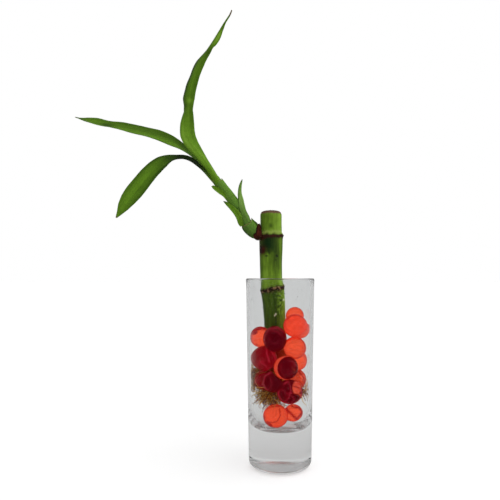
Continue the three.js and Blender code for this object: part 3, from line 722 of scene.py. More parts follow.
class Shader(Nodes):
    """A material around one main shader."""

    def __init__(self, name):
        super().__init__(bpy.data.materials.new(name))

    def main(self, inputs):
        self.fill(self.tree.nodes["Principled BSDF"], inputs)
        return self.owner

    def attribute(self, name, output):
        return self.node("Attribute", attribute_name=name).outputs[output]

    def place(self):
        return self.node("TexCoord").outputs["Object"]

    def noise(self, vector, scale, detail, stretch=(1, 1, 1)):
        """Cloudy values around 0.5, the vector stretched first."""
        stretched = self.node("Mapping", {"Vector": vector, "Scale": stretch}).outputs["Vector"]
        settings = {"Vector": stretched, "Scale": scale, "Detail": detail}
        return self.node("TexNoise", settings).outputs["Fac"]

    def remap(self, value, low, high, from_low=0.3, from_high=0.7):
        ends = {"From Min": from_low, "From Max": from_high, "To Min": low, "To Max": high}
        return self.node("MapRange", {"Value": value, **ends}).outputs["Result"]

    def shaded(self, colour, value):
        """The colour made lighter or darker by a value around 1."""
        return self.node("VectorMath", {0: colour, "Scale": value}, operation="SCALE").outputs[0]

    def raised(self, height, strength, distance):
        """Small relief on the surface, its distance in millimetres."""
        settings = {"Height": height, "Strength": strength, "Distance": distance * MM}
        return self.node("Bump", settings).outputs["Normal"]


def grown_material(name, stretch, contrast, roughness, relief, glow=0.0):
    """Plant skin: painted tints, with fine streaks along the grain."""
    shader = Shader(name)
    grain = shader.attribute("grain", "Vector")
    streaks = shader.noise(grain, 1.0, 4.0, stretch)
    mottle = shader.noise(grain, 0.35, 2.0)
    lighter = shader.remap(streaks, 1 - contrast, 1 + contrast)
    patchy = shader.remap(mottle, 1 - contrast / 2, 1 + contrast / 2)
    tint = shader.shaded(shader.attribute("tint", "Color"), lighter)
    return shader.main({
        "Base Color": shader.shaded(tint, patchy),
        "Roughness": shader.remap(streaks, roughness - 0.08, roughness + 0.08),
        "Normal": shader.raised(streaks, relief, 0.12),
        "Specular IOR Level": 0.03,
        "Subsurface Weight": glow,
        "Subsurface Radius": (0.6, 1.0, 0.3),
        "Subsurface Scale": 0.6 * MM,
    })


def glass_material():
    shader = Shader("clear_glass")
    return shader.main({
        "Base Color": (*GLASS_TINT, 1),
        "Roughness": shader.attribute("wear", "Fac"),
        "IOR": GLASS_IOR,
        "Specular Tint": (*GLASS_SHEEN, 1),
        "Transmission Weight": 1.0,
    })


def speck_material():
    """Dried water specks and lint on the glass."""
    shader = Shader("dried_specks")
    grey = shader.remap(shader.noise(shader.place(), 200.0, 1.0), 0.02, 0.4)
    return shader.main({"Base Color": grey, "Roughness": 0.6})


def gel_material(name, dye_colour, density):
    """Clear red gel, with the colours that it lets through and a painted glow that stands in for light
    coming through it.
    """
    shader = Shader(name)
    dye = shader.node("VolumeAbsorption", {"Color": (*dye_colour, 1), "Density": density})
    shader.fill(shader.tree.nodes["Material Output"], {"Volume": dye.outputs["Volume"]})
    return shader.main({
        "Base Color": shader.attribute("tint", "Color"),
        "Roughness": 0.0,
        "IOR": GEL_IOR,
        "Transmission Weight": 1.0,
        "Specular Tint": (*GLASS_SHEEN, 1),
        "Coat Weight": 1.0,
        "Coat Roughness": 0.0,
        "Coat IOR": GEL_SKIN_IOR,
        "Coat Tint": (*GEL_SKIN_TINT, 1),
        # Painted glow: emission that stands in for the light coming through the gel
        "Emission Color": shader.attribute("glow", "Color"),
        "Emission Strength": 1.0,
        "Normal": shader.raised(shader.noise(shader.place(), 260.0, 1.0), 0.25, 0.25),
    })


def floor_material():
    shader = Shader("pale_floor")
    tone = shader.remap(shader.noise(shader.place(), 40.0, 3.0), 0.985, 1.0)
    colour = shader.node("RGB").outputs[0]
    colour.default_value = (*FLOOR_GREY, 1)
    seen = shader.node("LightPath").outputs["Is Camera Ray"]
    return shader.main({
        "Base Color": shader.shaded(colour, tone),
        "Roughness": 0.9,
        "Specular IOR Level": 0.1,
        "Emission Color": (1, 1, 1, 1),
        "Emission Strength": shader.remap(seen, 0, FLOOR_GLOW, 0, 1),
    })


# The view, the light and the floor

def make_camera():
    data = bpy.data.cameras.new("view")
    data.lens = CAMERA_LENS
    data.sensor_width = CAMERA_SENSOR
    data.shift_y = CAMERA_SHIFT_UP
    data.clip_start = 0.01
    data.clip_end = 20
    camera = placed("view", data)
    camera.location = Vector(CAMERA_PLACE) * MM
    camera.rotation_euler = (math.pi / 2, 0, 0)
    bpy.context.scene.camera = camera


def make_look():
    scene = bpy.context.scene
    scene.view_settings.view_transform = "Standard"
    scene.cycles.max_bounces = LIGHT_BOUNCES
    scene.cycles.transmission_bounces = LIGHT_BOUNCES
    scene.cycles.glossy_bounces = LIGHT_BOUNCES


def make_world():
    """A grey backdrop, white where the view meets it, with a broad soft light on the right."""
    world = bpy.data.worlds.new("studio")
    world.cycles.sampling_method = "NONE"
    bpy.context.scene.world = world
    studio = Nodes(world)

    def worked_out(operation, first, second):
        return studio.node("Math", {0: first, 1: second}, operation=operation).outputs[0]

    def product(first, second):
        return worked_out("MULTIPLY", first, second)

    place = studio.node("TexCoord").outputs["Generated"]
    towards = studio.node("VectorMath", {0: place, 1: KEY_DIRECTION}, operation="DOT_PRODUCT")
    key = worked_out("POWER", worked_out("MAXIMUM", towards.outputs["Value"], 0), 2)
    rays = studio.node("LightPath").outputs
    scattered = worked_out("MINIMUM", rays["Diffuse Depth"], 1)
    key_share = worked_out("ADD", product(scattered, 1 - KEY_THROUGH_GLASS), KEY_THROUGH_GLASS)
    strength = worked_out("ADD", product(product(key, key_share), KEY_LIGHT), BACKDROP_LIGHT)
    mirrored = worked_out("MINIMUM", rays["Glossy Depth"], 1)
    dimmed = worked_out("SUBTRACT", 1, product(mirrored, 1 - MIRRORED_SHARE))
    white = (1, 1, 1, 1)
    light = studio.tree.nodes["Background"]
    studio.fill(light, {"Color": white, "Strength": product(strength, dimmed)})
    seen = studio.node("Background", {"Color": white})
    mixed = {"Fac": rays["Is Camera Ray"], 1: light.outputs[0], 2: seen.outputs[0]}
    both = studio.node("MixShader", mixed).outputs["Shader"]
    studio.fill(studio.tree.nodes["World Output"], {"Surface": both})


def make_floor(material):
    reach = FLOOR_REACH
    corners = [(-reach, -reach, 0), (reach, -reach, 0), (reach, reach, 0), (-reach, reach, 0)]
    mesh = bpy.data.meshes.new("floor")
    mesh.from_pydata(corners, [], [(0, 1, 2, 3)])
    mesh.materials.append(material)
    floor = placed("floor", mesh)
    floor.location.z = -FLOOR_DROP


# The glass

def glass_radius(z):
    return GLASS_BASE_RADIUS + (GLASS_RIM_RADIUS - GLASS_BASE_RADIUS) * z / GLASS_HEIGHT


def cavity_profile():
    """The inside of the glass as (radius, height), from the middle of the floor to the rim."""
    top = glass_radius(GLASS_CORNER_TOP) - GLASS_WALL
    flat = top - GLASS_CORNER_WIDTH
    profile = [(0, GLASS_FLOOR), (flat * 0.5, GLASS_FLOOR)]
    for angle in [0, *steps(0, math.pi / 2, 24)]:
        radius = flat + GLASS_CORNER_WIDTH * math.sin(angle)
        drop = (GLASS_CORNER_TOP - GLASS_FLOOR) * math.cos(angle)
        profile.append((radius, GLASS_CORNER_TOP - drop))
    for z in steps(GLASS_CORNER_TOP, GLASS_LIP, 12):
        profile.append((glass_radius(z) - GLASS_WALL, z))
    return profile


CAVITY = [(height, radius) for radius, height in cavity_profile()[2:]]


def make_glass(material):
    outline = list(GLASS_FOOT)
    heel_centre = glass_radius(GLASS_HEEL_RADIUS) - GLASS_HEEL_RADIUS
    for angle in [0, *steps(0, math.pi / 2, 16)]:
        radius = heel_centre + GLASS_HEEL_RADIUS * math.sin(angle)
        outline.append((radius, GLASS_HEEL_RADIUS * (1 - math.cos(angle))))
    for z in steps(GLASS_HEEL_RADIUS, GLASS_LIP, 20)[:-1]:
        outline.append((glass_radius(z), z))
    for angle in [0, *steps(0, math.pi, 12)]:
        radius = GLASS_RIM_RADIUS - GLASS_WALL / 2 * (1 - math.cos(angle))
        outline.append((radius, GLASS_HEIGHT - GLASS_WALL / 2 * (1 - math.sin(angle))))
    outline += cavity_profile()[::-1][1:]
    form = Form()
    for radius, z in outline[1:-1]:
        form.points += [around(angle, radius, z) for angle in ring(GLASS_SIDES)]
    rows = len(outline) - 2
    form.faces = grid_faces(rows, GLASS_SIDES, closed=True)
    foot = len(form.points)
    floor = foot + 1
    form.points.append((0, 0, outline[0][1]))
    form.points.append((0, 0, outline[-1][1]))
    last = (rows - 1) * GLASS_SIDES
    for j in range(GLASS_SIDES):
        k = (j + 1) % GLASS_SIDES
        form.faces.append((foot, k, j))
        form.faces.append((floor, last + j, last + k))
    vessel = add_piece("glass_vessel", form, material, ["glass"])
    wear = []
    for _, _, z in form.points:
        wear.append([sum(most * smooth(start, end, z) for start, end, most in GLASS_WEAR)])
    add_layer(vessel.data, "wear", "FLOAT", "value", wear)


def make_specks(material):
    """Small dried drops on the inside of the glass."""
    chance = random.Random(SPECK_SEED)
    form = Form()
    for low, high, first, last, count in SPECK_PATCHES:
        for _ in range(count):
            z = chance.uniform(low, high)
            angle = math.radians(chance.uniform(first, last))
            size = SPECK_SIZE + SPECK_GROWTH * chance.random() ** 3
            outward = around(angle, 1)
            side = UP.cross(outward)
            centre = outward * (lookup(CAVITY, z)[0] - SPECK_DEPTH) + UP * z
            start = len(form.points)
            form.points.append(centre - outward * size * 0.5)
            for turn in ring(SPECK_SIDES):
                reach = size * chance.uniform(0.75, 1.2)
                form.points.append(centre + side * reach * math.cos(turn) + UP * reach * math.sin(turn))
            for j in range(SPECK_SIDES):
                form.faces.append((start, start + 1 + (j + 1) % SPECK_SIDES, start + 1 + j))
            form.faces.append(ring_face(start + 1, SPECK_SIDES))
    add_piece("glass_specks", form, material)


# The cane

def cane_centre(z):
    return Vector((*softened(CANE_LINE, z, 1.5), z))


def cane_radius(z):
    return softened(CANE_SECTIONS, z, 0.5)[0]


def cane_tint(z, across, near, angle):
    """The cane's colour at a height, a place across it from -1 to 1, and near or far."""
    streak = noise.fractal(around(angle, 2.6, z * 0.035) * 1.7, 0.9, 2.0, 4)
    blotch = ring_cloud(angle, 1.6, z * 0.09)
    if z > UPPER_RING:
        # Painted light: lighter towards the right, with a lighter band near the right edge, as lit from
        # the right
        value = 0.7 + 0.06 * streak + 0.1 * across + 0.06 * bump(across, 0.75, 0.2)
        value -= 0.3 * bump(z, CANE_MARK, 1.3) * bump(across, -0.05, 0.16) * near
    elif z > LOWER_RING:
        value = 0.52 + 0.16 * streak + 0.1 * blotch
        value += 0.18 * bump(across, -0.6, 0.35) * smooth(124, 118, z) * near
        value -= 0.16 * bump(across, 0.4, 0.35) * (0.8 + streak) * smooth(110, 120, z) * near
        # Painted light: a lighter stripe near the right edge
        value += 0.1 * bump(across, 0.8, 0.14) * near
        edge = z + 2.5 * cloud(across * 3, z * 0.3, 9.0)
        value -= 0.62 * bump(across, -0.3, 0.55) * smooth(120, 125, edge) * near
        # Painted light: lighter just below the glass's rim
        value += 0.2 * smooth(114, 104, z)
    else:
        mottle = ring_cloud(angle, 9, z * 0.9)
        value = 0.46 + 0.16 * streak + 0.08 * blotch
        value -= 0.14 * bump(across, 0.1, 0.2) * near
        # Painted light: lighter towards the right, brightest at the right edge, as lit from the right
        value += 0.18 * bump(across, 0.6, 0.3) * near + 0.35 * bump(across, 0.95, 0.14)
        value += 0.5 * mottle * bump(across, 0.5, 0.35) * smooth(80, 88, z)
    ragged = cloud(angle * 3.1, z * 0.4, 4.0) + 0.5 * cloud(angle * 9, z, 7.0)
    by_shoot = bump(across, -0.9, 0.35) * near
    upper = bump(z, UPPER_RING - 0.7 + 0.6 * ragged - 0.4 * by_shoot, 1.1 + 0.9 * by_shoot)
    lower = bump(z, LOWER_RING - 0.6 + 0.7 * ragged, 1.35)
    tan = smooth(0.0, 0.5, cloud(angle * 5, z * 0.8, 1.0))
    scar = bump(across, -0.85, 0.36) * bump(z, CANE_SCAR + 0.8 * ragged, 2.5) * near
    layers = [
        # Painted red light from the beads on the cane's foot
        (PAINTED_BEAD_RED_LIGHT, 0.8 * smooth(72, 64, z)),
        (mix(DARK_BROWN, SCAR_RED, 0.35 * by_shoot + 0.5 * tan), 1.45 * upper),
        (mix(DARK_BROWN, RING_TAN, tan), 1.2 * lower),
        (DRY_BROWN, 0.55 * bump(z, UPPER_RING + 1.1, 0.6) * tan),
        (PALE_BAND, 0.4 * bump(z, UPPER_RING + 1.7 + 0.7 * ragged, 0.9)),
        (DRY_BROWN, smooth(*CANE_DRY_RIM, z + 0.4 * ragged)),
        (mix(SCAR_RED, DARK_BROWN, 0.75 + ragged), 1.5 * scar),
    ]
    colour = ramp(CANE_SHADES, value)
    for paint, share in layers:
        colour = mix(colour, paint, share)
    return colour


def spotted(spots, across, z):
    return sum(bump(across, side, wide) * bump(z, height, high) for side, height, wide, high in spots)


def make_cane(material):
    form = Form()
    for i in range(CANE_ROWS):
        z = CANE_FOOT + (CANE_TOP - CANE_FOOT) * i / (CANE_ROWS - 1)
        radius, slope = softened(CANE_SECTIONS, z, 0.5)
        for angle in ring(CANE_SIDES):
            across = math.cos(angle)
            swell = 0.12 * noise.noise(around(angle, 2.2, z * 0.03) + CANE_SWELL_SHIFT)
            swell += 0.05 * ring_cloud(angle, 7, z * 0.04)
            edge = ring_cloud(angle, 5, z * 0.9)
            swell += 0.22 * edge * (bump(z, UPPER_RING - 0.3, 1.0) + bump(z, LOWER_RING - 0.4, 1.3))
            swell += 0.5 * bump(z, UPPER_RING - 0.2, 0.9) * smooth(0.5, 1.0, across)
            reach = radius + swell
            near = smooth(0.25, -0.25, math.sin(angle))
            tint = cane_tint(z, across, near, angle)
            tint = mix(tint, SPECK_DARK, 1.3 * spotted(CANE_SPECKS, across, z) * near)
            tint = mix(tint, FLECK_PALE, spotted(CANE_FLECKS, across, z) * near)
            point = cane_centre(z) + around(angle, reach, slope * reach * across)
            form.add(point, tint, around(angle, 6.3, z))
    form.faces = grid_faces(CANE_ROWS, CANE_SIDES, closed=True)
    ends = [(CANE_FOOT, -0.35, 0, True), (CANE_TOP, 1.0, (CANE_ROWS - 1) * CANE_SIDES, False)]
    for height, rise, previous, flip in ends:
        for share, lift in CANE_END_RINGS:
            start = len(form.points)
            reach = cane_radius(height) * share
            for angle in ring(CANE_SIDES):
                rough = 0.12 * ring_cloud(angle, reach, height)
                pith = 0.5 + 0.5 * cloud(angle * 2, reach * 2.0, 3.0)
                tint = mix(DARK_BROWN, RING_TAN, pith * (1.2 - share))
                point = cane_centre(height) + around(angle, reach, rise * lift + rough)
                form.add(point, tint, around(angle, reach, height))
            form.faces += band_faces(previous, start, CANE_SIDES, flip=flip)
            previous = start
        form.faces.append(ring_face(previous, CANE_SIDES, flip))
    add_piece("cane_stem", form, material, ["cane"])


# Leaf surfaces

def leaf_tint(leaf, t, v):
    value = leaf["base"]
    # The shade patches paint light and shade onto the leaf, with some of its own tone
    for along, across, reach_along, reach_across, amount in leaf["shades"]:
        value += amount * bump(t, along, reach_along) * bump(v, across, reach_across)
    vein = cloud(v * 9, t * 3, leaf["base"] * 20)
    blotch = cloud(v * 1.5, t * 9, leaf["base"] * 50)
    value += 0.07 * vein + 0.06 * blotch + 0.05 * bump(v, 0, 0.05)
    dry = leaf.get("dry", LEAF_DRY_START)
    return mix(ramp(LEAF_SHADES, value), DRY_BROWN, 0.85 * smooth(dry, dry + 0.02, t))


def leaf_surface(leaf, rows, columns):
    """A thin curved blade along its stations, closed all round."""
    path = Path(leaf["stations"])
    listed = list(zip(*leaf["stations"]))[3:]
    wave, waves = leaf.get("wave", (0.0, 1))
    stalk = leaf.get("stalk", 0.0)
    front = Form()
    back = Form()
    length = path.measured(60)[-1][0]
    for i in range(rows + 1):
        t = i / rows
        middle = path.at(t)
        along, flat, deep = path.frame(clamped(t, 0.003, 0.997))
        half_width, roll, wrap = [interpolated(column, t) for column in listed]
        half_bend = math.radians(wrap) / 2
        side = flat * math.cos(math.radians(roll)) + deep * math.sin(math.radians(roll))
        hollow = side.cross(along)
        radius = half_width / half_bend
        swell = wave * math.sin(math.pi * t) * min(half_width / 2, 1)
        nicks = [(edge, share * bump(t, at, reach)) for at, edge, reach, share in leaf.get("nicks", [])]
        for j in range(columns + 1):
            v = 2 * j / columns - 1
            angle = v * half_bend * (1 - sum(nick for edge, nick in nicks if edge * v > 0))
            ripple = swell * v * v * math.sin(TURN * waves * t + v)
            point = middle + side * radius * math.sin(angle)
            point += hollow * (radius * (1 - math.cos(angle)) + ripple)
            normal = hollow * math.cos(angle) - side * math.sin(angle)
            thick = LEAF_EDGE_THICKNESS + (LEAF_MIDDLE_THICKNESS - LEAF_EDGE_THICKNESS) * (1 - v * v)
            thick *= min(1.0, 0.35 + half_width / 3)
            thick += stalk * smooth(0.42, 0.1, t) * (1 - 0.5 * v * v)
            keel = 0.1 * bump(v, 0, 0.07) * min(half_width / 3, 1)
            tint = leaf_tint(leaf, t, v)
            grain = (v * half_width, t * length, 0)
            front.add(point + normal * (thick / 2 - keel), tint, grain)
            back.add(point - normal * (thick / 2 + keel), tint, grain)
    width = columns + 1
    size = len(front.points)
    front.faces = grid_faces(rows + 1, width)
    back.faces = grid_faces(rows + 1, width, flip=True)
    front.join(back)
    for a in range(0, rows * width, width):
        front.faces.append((a, a + width, size + a + width, size + a))
        b = a + width - 1
        front.faces.append((b + width, b, size + b, size + b + width))
    front.faces += band_faces(0, size, width, closed=False, flip=True)
    front.faces += band_faces(rows * width, size + rows * width, width, closed=False)
    return front


# The shoot

SHOOT_PATH = Path(SHOOT)
SHOOT_RULE = SHOOT_PATH.measured(400)


def shoot_point(distance, angle, radius):
    """A point round the shoot at a distance along it."""
    t = lookup(SHOOT_RULE, distance)[0]
    along, side, front = SHOOT_PATH.frame(min(t, 0.99))
    beyond = max(distance - SHOOT_RULE[-1][0], 0.0)
    place = SHOOT_PATH.at(t) + along * beyond + side * radius * math.cos(angle)
    return place - front * radius * SHOOT_FLATNESS * math.sin(angle)


def shoot_shade(distance, angle, edge):
    streak = noise.fractal(around(angle, 2, distance * 0.05), 0.9, 2.0, 3)
    value = 0.47 + 0.1 * streak + 0.1 * math.cos(angle - 0.6)
    colour = ramp(LEAF_SHADES, value + 0.1 * smooth(14, 30, distance))
    # An even bluish grey mixed into the shoot's green
    return mix(mix(colour, SHOOT_BLUE_GREY, 0.16), RING_TAN, 0.75 * edge)


def make_shoot(material):
    form = Form()

    def add(distance, angle, radius, edge):
        shade = shoot_shade(distance, angle, edge)
        form.add(shoot_point(distance, angle, radius), shade, around(angle, 3, distance))

    length = SHOOT_RULE[-1][0]
    radii = list(zip(*SHOOT))[3]
    for i in range(SHOOT_ROWS):
        distance = i / (SHOOT_ROWS - 1) * length
        radius = interpolated(radii, lookup(SHOOT_RULE, distance)[0]) - 0.1
        for angle in ring(SHOOT_SIDES):
            add(distance, angle, radius, 0)
    form.faces = tube_faces(SHOOT_ROWS, SHOOT_SIDES)
    for foot, sheath_radii, rim in SHEATHS:
        rim = rim + [(360, *rim[0][1:])]
        surfaces = []
        for inner in (False, True):
            start = len(form.points)
            surfaces.append(start)
            for i in range(SHEATH_ROWS):
                share = i / (SHEATH_ROWS - 1)
                wall = SHEATH_WALL if inner else SHEATH_WALL * 0.6 * smooth(0.9, 1.0, share)
                base = interpolated(sheath_radii, share)
                for j in range(SHEATH_SIDES):
                    degrees = 360 * j / SHEATH_SIDES
                    end, lift = lookup(rim, degrees)
                    end += 0.16 * cloud(degrees * 0.12, end, 2.0)
                    distance = foot + (end - foot) * share
                    radius = base + lift * smooth(0.45, 1.0, share) - wall
                    add(distance, math.radians(degrees), radius, smooth(0.955, 0.995, share))
            form.faces += grid_faces(SHEATH_ROWS, SHEATH_SIDES, start, True, inner)
        outer, inner = surfaces
        last = (SHEATH_ROWS - 1) * SHEATH_SIDES
        form.faces += band_faces(outer + last, inner + last, SHEATH_SIDES)
        form.faces += band_faces(outer, inner, SHEATH_SIDES, flip=True)
    for bract in BRACTS:
        form.join(leaf_surface(bract, BRACT_ROWS, BRACT_COLUMNS))
    add_piece("shoot_stem", form, material, ["shoot"])


def horn(stations, sides, tint, groove=0.0, roughness=0.0):
    """A closed tapering piece along its stations, with a groove down its near side."""
    path = Path(stations)
    widths, depths = list(zip(*stations))[3:]
    form = Form()
    for i in range(HORN_ROWS):
        t = i / (HORN_ROWS - 1)
        centre = path.at(t)
        _, side, front = path.frame(clamped(t, 0.01, 0.99))
        width = interpolated(widths, t)
        depth = interpolated(depths, t)
        for angle in ring(sides):
            fold = 1 - groove * bump(math.degrees(angle), *GROOVE)
            fold += roughness * ring_cloud(angle, 2, t * 7)
            place = centre + side * width * fold * math.cos(angle)
            place -= front * depth * fold * math.sin(angle)
            grain = (math.cos(angle) * width, math.sin(angle) * depth, t * 20)
            form.add(place, tint(t, angle), grain)
    form.faces = tube_faces(HORN_ROWS, sides)
    return form


def spear_tint(t, angle):
    value = 0.35 + 0.25 * ring_cloud(angle, 3, t * 2) + 0.35 * bump(t, 0.55, 0.25)
    # Painted shade down the left side, where the young leaf meets the stem
    value -= 0.4 * bump(math.cos(angle), -1, 0.35)
    return mix(ramp(SPEAR_SHADES, value), SPEAR_TIP, 0.9 * smooth(0.8, 0.97, t))


def scale_tint(t, angle):
    fibre = ring_cloud(angle, 5, t * 3)
    blotch = ring_cloud(angle, 1.5, t * 5 + 9)
    return mix(SCAR_RED, DARK_BROWN, 0.62 + 0.8 * fibre + 0.9 * blotch)


def make_side_pieces(leaf_skin, dry_skin):
    spear = horn(SPEAR_LEAF, 48, spear_tint, groove=0.16)
    add_piece("young_leaf", spear, leaf_skin, ["leaf_spear"])
    scale = horn(RED_SCALE, 72, scale_tint, roughness=0.26)
    add_piece("dry_scale", scale, dry_skin, ["red_scale"])


# The leaves

def make_leaf(name, leaf, material):
    form = leaf_surface(leaf, LEAF_ROWS, LEAF_COLUMNS)
    add_piece("blade_" + name[5:], form, material, [name])


# The beads

def bead_places():
    """The centre and the radius of each bead, by its number."""
    places = {}
    for bead in range(1, BEAD_COUNT + 1):
        low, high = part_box(f"bead_{bead:02d}")
        shift = Vector(BEAD_SHIFTS.get(bead, (0, 0, 0)))
        places[bead] = ((low + high) / 2 / MM + shift, (high - low).z / 2 / MM)
    return places


def unit_ball():
    ball = bmesh.new()
    bmesh.ops.create_icosphere(ball, subdivisions=BEAD_DETAIL, radius=1)
    directions = [vertex.co.normalized() for vertex in ball.verts]
    faces = [[vertex.index for vertex in face.verts] for face in ball.faces]
    ball.free()
    return directions, faces


def pressed(centre, direction, reach, flats):
    """How far a soft ball reaches in a direction, pressed flat against its neighbours."""
    for axis, limit in flats:
        share = direction.dot(axis)
        if share > 0:
            over = limit / share
            if reach > over:
                reach = over - BEAD_SOFTNESS * (1 - math.exp((over - reach) / BEAD_SOFTNESS)) * BEAD_GIVE
    for _ in range(3):
        place = centre + direction * reach
        wall = lookup(CAVITY, place.z)[0] - BEAD_CONTACT_GAP
        out = math.hypot(place.x, place.y)
        if out > wall:
            reach -= (out - wall) * WALL_GIVE
        place = centre + direction * reach
        if place.z > CANE_FOOT:
            away = place - cane_centre(place.z)
            lack = cane_radius(place.z) + BEAD_CONTACT_GAP - math.hypot(away.x, away.y)
            reach -= max(lack, 0)
    floor = GLASS_FLOOR + BEAD_CONTACT_GAP - centre.z
    if direction.z < 0 and direction.z * reach < floor:
        reach = floor / direction.z
    return reach


def line_distance(x, z, start, end):
    """How far a point is from a straight piece between two points."""
    across = (end[0] - start[0], end[1] - start[1])
    square = across[0] ** 2 + across[1] ** 2
    share = clamped(((x - start[0]) * across[0] + (z - start[1]) * across[1]) / square)
    return math.hypot(x - start[0] - across[0] * share, z - start[1] - across[1] * share)


def gel_tone(bead, direction, painted_arcs):
    """The colour that a place on a bead lets through and its painted glow, with painted light and shade
    on the near side.
    """
    tone = GEL_TONES[BEAD_TONES.get(bead, "bright")]
    marks = []
    if direction.y < 0:
        for x, z, wide, high, softness, kind, strength in BEAD_PATCHES.get(bead, []):
            out = math.hypot((direction.x - x) / wide, (direction.z - z) / high)
            marks.append((kind, strength * smooth(1 + softness / 2, 1 - softness / 2, out)))
        for line, width, kind, strength in BEAD_LINES.get(bead, []):
            nearest = min(line_distance(direction.x, direction.z, a, b) for a, b in zip(line, line[1:]))
            marks.append((kind, strength * bump(nearest, 0, width)))
    # Painted shade: dark arcs through the gel
    for axis, offset in painted_arcs:
        patch = smooth(-0.1, 0.3, noise.noise(direction * 1.7 + axis * 5))
        marks.append(("edge", PAINTED_ARC_STRENGTH * patch * bump(direction.dot(axis), offset, PAINTED_ARC_WIDTH)))
    for kind, share in marks:
        tone = [mix(had, given, share) for had, given in zip(tone, GEL_TONES[kind])]
    glow_unevenness = 1 + PAINTED_GLOW_UNEVENNESS * noise.noise(direction * 4.0 + Vector((len(marks), 0, 0)))
    return tone[0], tuple(part * glow_unevenness for part in tone[1])


def bead_flats(bead, centre, radius, places):
    """The flats that a bead's neighbours press into it, as (direction, distance)."""
    flats = []
    for other, (other_centre, other_radius) in places.items():
        apart = (other_centre - centre).length
        if other == bead or bead in FIRM_BEADS:
            continue
        if apart < (radius + other_radius) * BEAD_SWELLING * NEIGHBOUR_REACH:
            limit = (apart + radius - other_radius) / 2 - BEAD_CONTACT_GAP / 2
            if other in FIRM_BEADS:
                firm_reach = other_radius * BEAD_SWELLING * max(BEAD_STRETCHES[other])
                limit = apart - firm_reach - BEAD_CONTACT_GAP
            flats.append(((other_centre - centre).normalized(), limit))
    return flats


def make_beads(materials):
    chance = random.Random(BEAD_SEED)
    directions, faces = unit_ball()
    places = bead_places()
    for bead, (centre, radius) in places.items():
        stretch = BEAD_STRETCHES.get(bead, (1, 1, 1))
        flats = bead_flats(bead, centre, radius, places)
        painted_arcs = []
        for _ in range(PAINTED_ARC_COUNT):
            axis = Vector([chance.gauss(0, 1) for _ in range(3)]).normalized()
            painted_arcs.append((axis, chance.uniform(-PAINTED_ARC_SPREAD, PAINTED_ARC_SPREAD)))
        tones = [gel_tone(bead, direction, painted_arcs) for direction in directions]
        form = Form()
        form.faces = faces
        form.tints = [tint for tint, _ in tones]
        for direction in directions:
            uneven = noise.noise(direction * 1.3 + centre)
            uneven += 0.35 * noise.noise(direction * 3.1 + centre)
            reach = radius * BEAD_SWELLING * (1 + BEAD_UNEVENNESS * (uneven - 0.4))
            stretched = Vector([part * share for part, share in zip(direction, stretch)])
            reach *= stretched.length
            if bead == POINTED_BEAD:
                turned = direction.angle(Vector(POINT_DIRECTION))
                reach *= 1 + POINT_REACH * math.exp(-turned / POINT_WIDTH)
            outward = stretched.normalized()
            form.points.append(centre + outward * pressed(centre, outward, reach, flats))
        name = f"bead_{bead:02d}"
        material = materials[BEAD_TONES.get(bead, "bright")]
        piece = add_piece("gel_" + name, form, material, [name])
        # The painted glow, standing in for the light that comes through each bead
        add_layer(piece.data, "glow", "FLOAT_COLOR", "color", [(*glow, 1.0) for _, glow in tones])


# The roots

def bead_hulls():
    """A ball around each dressed bead, as (centre, radius)."""
    hulls = []
    for bead, (centre, radius) in bead_places().items():
        stretch = max(BEAD_STRETCHES.get(bead, (1, 1, 1)))
        hulls.append((centre, radius * BEAD_SWELLING * stretch))
    return hulls


def cleared(place, beads, room):
    """Moves a point out of the beads, the cane and the glass."""
    for _ in range(ROOT_TRIES):
        for centre, radius in beads:
            away = place - centre
            lack = radius + room - away.length
            if lack > 0:
                place = place + away.normalized() * lack
        reach = Vector((place.x, place.y, 0))
        limit = lookup(CAVITY, place.z)[0] - room
        if reach.length > limit:
            reach = reach * (limit / reach.length)
            place = Vector((reach.x, reach.y, place.z))
        place.z = max(place.z, GLASS_FLOOR + room)
        if place.z > CANE_FOOT - 0.5:
            away = place - cane_centre(place.z)
            away.z = 0
            lack = LOWER_CANE_RADIUS + ROOT_ROOM - away.length
            if lack > 0 and away.length > 0:
                place = place + away.normalized() * lack
    return place


def root_line(chance, beads, target, spread):
    """A wandering line from the cane's foot to near a target."""
    angle = chance.uniform(0, TURN)
    place = cane_centre(CANE_FOOT) + around(angle, chance.uniform(0.5, 5.6), -0.6)
    goal = target + Vector([chance.gauss(0, spread * 0.6) for _ in range(3)])
    heading = around(angle, 1, -0.5)
    line = [place.copy()]
    for _ in range(ROOT_STEPS):
        pull = goal - place
        near = pull.length < spread
        wander = Vector([chance.uniform(-1, 1) for _ in range(3)])
        heading = heading * 0.8 + wander * (0.6 if near else 0.4)
        if not near:
            heading += pull.normalized() * 0.55
        heading.normalize()
        place = cleared(place + heading * ROOT_STEP, beads, ROOT_ROOM)
        if (place - line[-1]).length > ROOT_STEP * 0.3:
            line.append(place.copy())
    return line


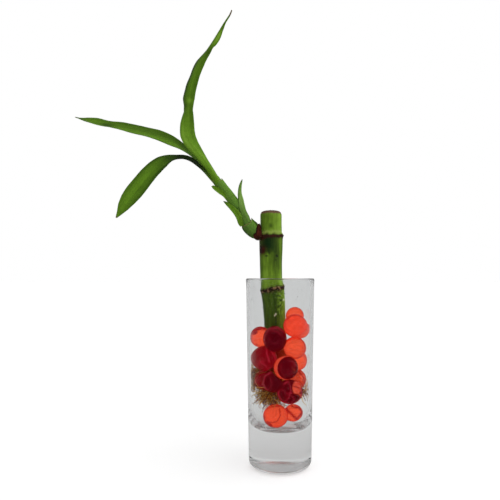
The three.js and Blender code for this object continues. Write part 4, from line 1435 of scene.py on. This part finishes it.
def make_roots(material):
    chance = random.Random(ROOT_SEED)
    beads = bead_hulls()
    form = Form()

    def add_strand(line, lightness, thickness):
        path = Path(line)
        rows = len(line) * 2
        start = len(form.points)
        shade = lightness + chance.uniform(-0.55, 0.4)
        for i in range(rows):
            t = i / (rows - 1)
            radius = thickness * (1 - ROOT_TAPER * t)
            centre = cleared(path.at(t), beads, radius + 0.05)
            along = path.along(clamped(t, 0.01, 0.99))
            side = along.cross(UP if abs(along.z) < 0.9 else DEPTH).normalized()
            front = along.cross(side)
            tint = ramp(ROOT_SHADES, shade + 0.15 * noise.noise(centre))
            for j, angle in enumerate(ring(ROOT_SIDES)):
                outward = side * math.cos(angle) + front * math.sin(angle)
                form.add(centre + outward * radius, tint, (j, 0, t * 10))
        form.faces += tube_faces(rows, ROOT_SIDES, start)

    for x, y, z, spread, strands, lightness in ROOT_BUNDLES:
        for _ in range(strands):
            thickness = ROOT_THICKNESS + ROOT_THICKENING * chance.random() ** 2
            line = root_line(chance, beads, Vector((x, y, z)), spread)
            if len(line) > 3:
                add_strand(line, lightness, thickness)
    add_piece("root_fibres", form, material, ["roots"])


# Everything together

make_camera()
make_look()
make_world()
make_floor(floor_material())

cane_skin = grown_material("cane_skin", (1.6, 1.6, 0.12), 0.2, 0.42, 0.35)
shoot_skin = grown_material("shoot_skin", (1.6, 1.6, 0.14), 0.07, 0.42, 0.12, glow=0.1)
leaf_skin = grown_material("leaf_skin", (3.2, 0.1, 1.0), 0.14, 0.4, 0.25, glow=0.1)
dry_skin = grown_material("dry_skin", (2.5, 2.5, 0.5), 0.35, 0.7, 0.6)
root_skin = grown_material("root_skin", (1.0, 1.0, 1.5), 0.25, 0.6, 0.4)

make_glass(glass_material())
make_specks(speck_material())
make_cane(cane_skin)
make_shoot(shoot_skin)
make_side_pieces(leaf_skin, dry_skin)
for leaf_name, leaf in LEAVES.items():
    make_leaf(leaf_name, leaf, leaf_skin)
gels = dict.fromkeys(("bright", "full", "dark"), gel_material("red_gel", (0.97, 0.55, 0.35), 170.0))
# A darker copy of the gel, as painted shade for the beads with the cane and roots behind them
shaded_gel = gel_material("shaded_red_gel", (0.85, 0.12, 0.3), 260.0)
make_beads({**gels, "ruby": shaded_gel, "deep": shaded_gel})
make_roots(root_skin)
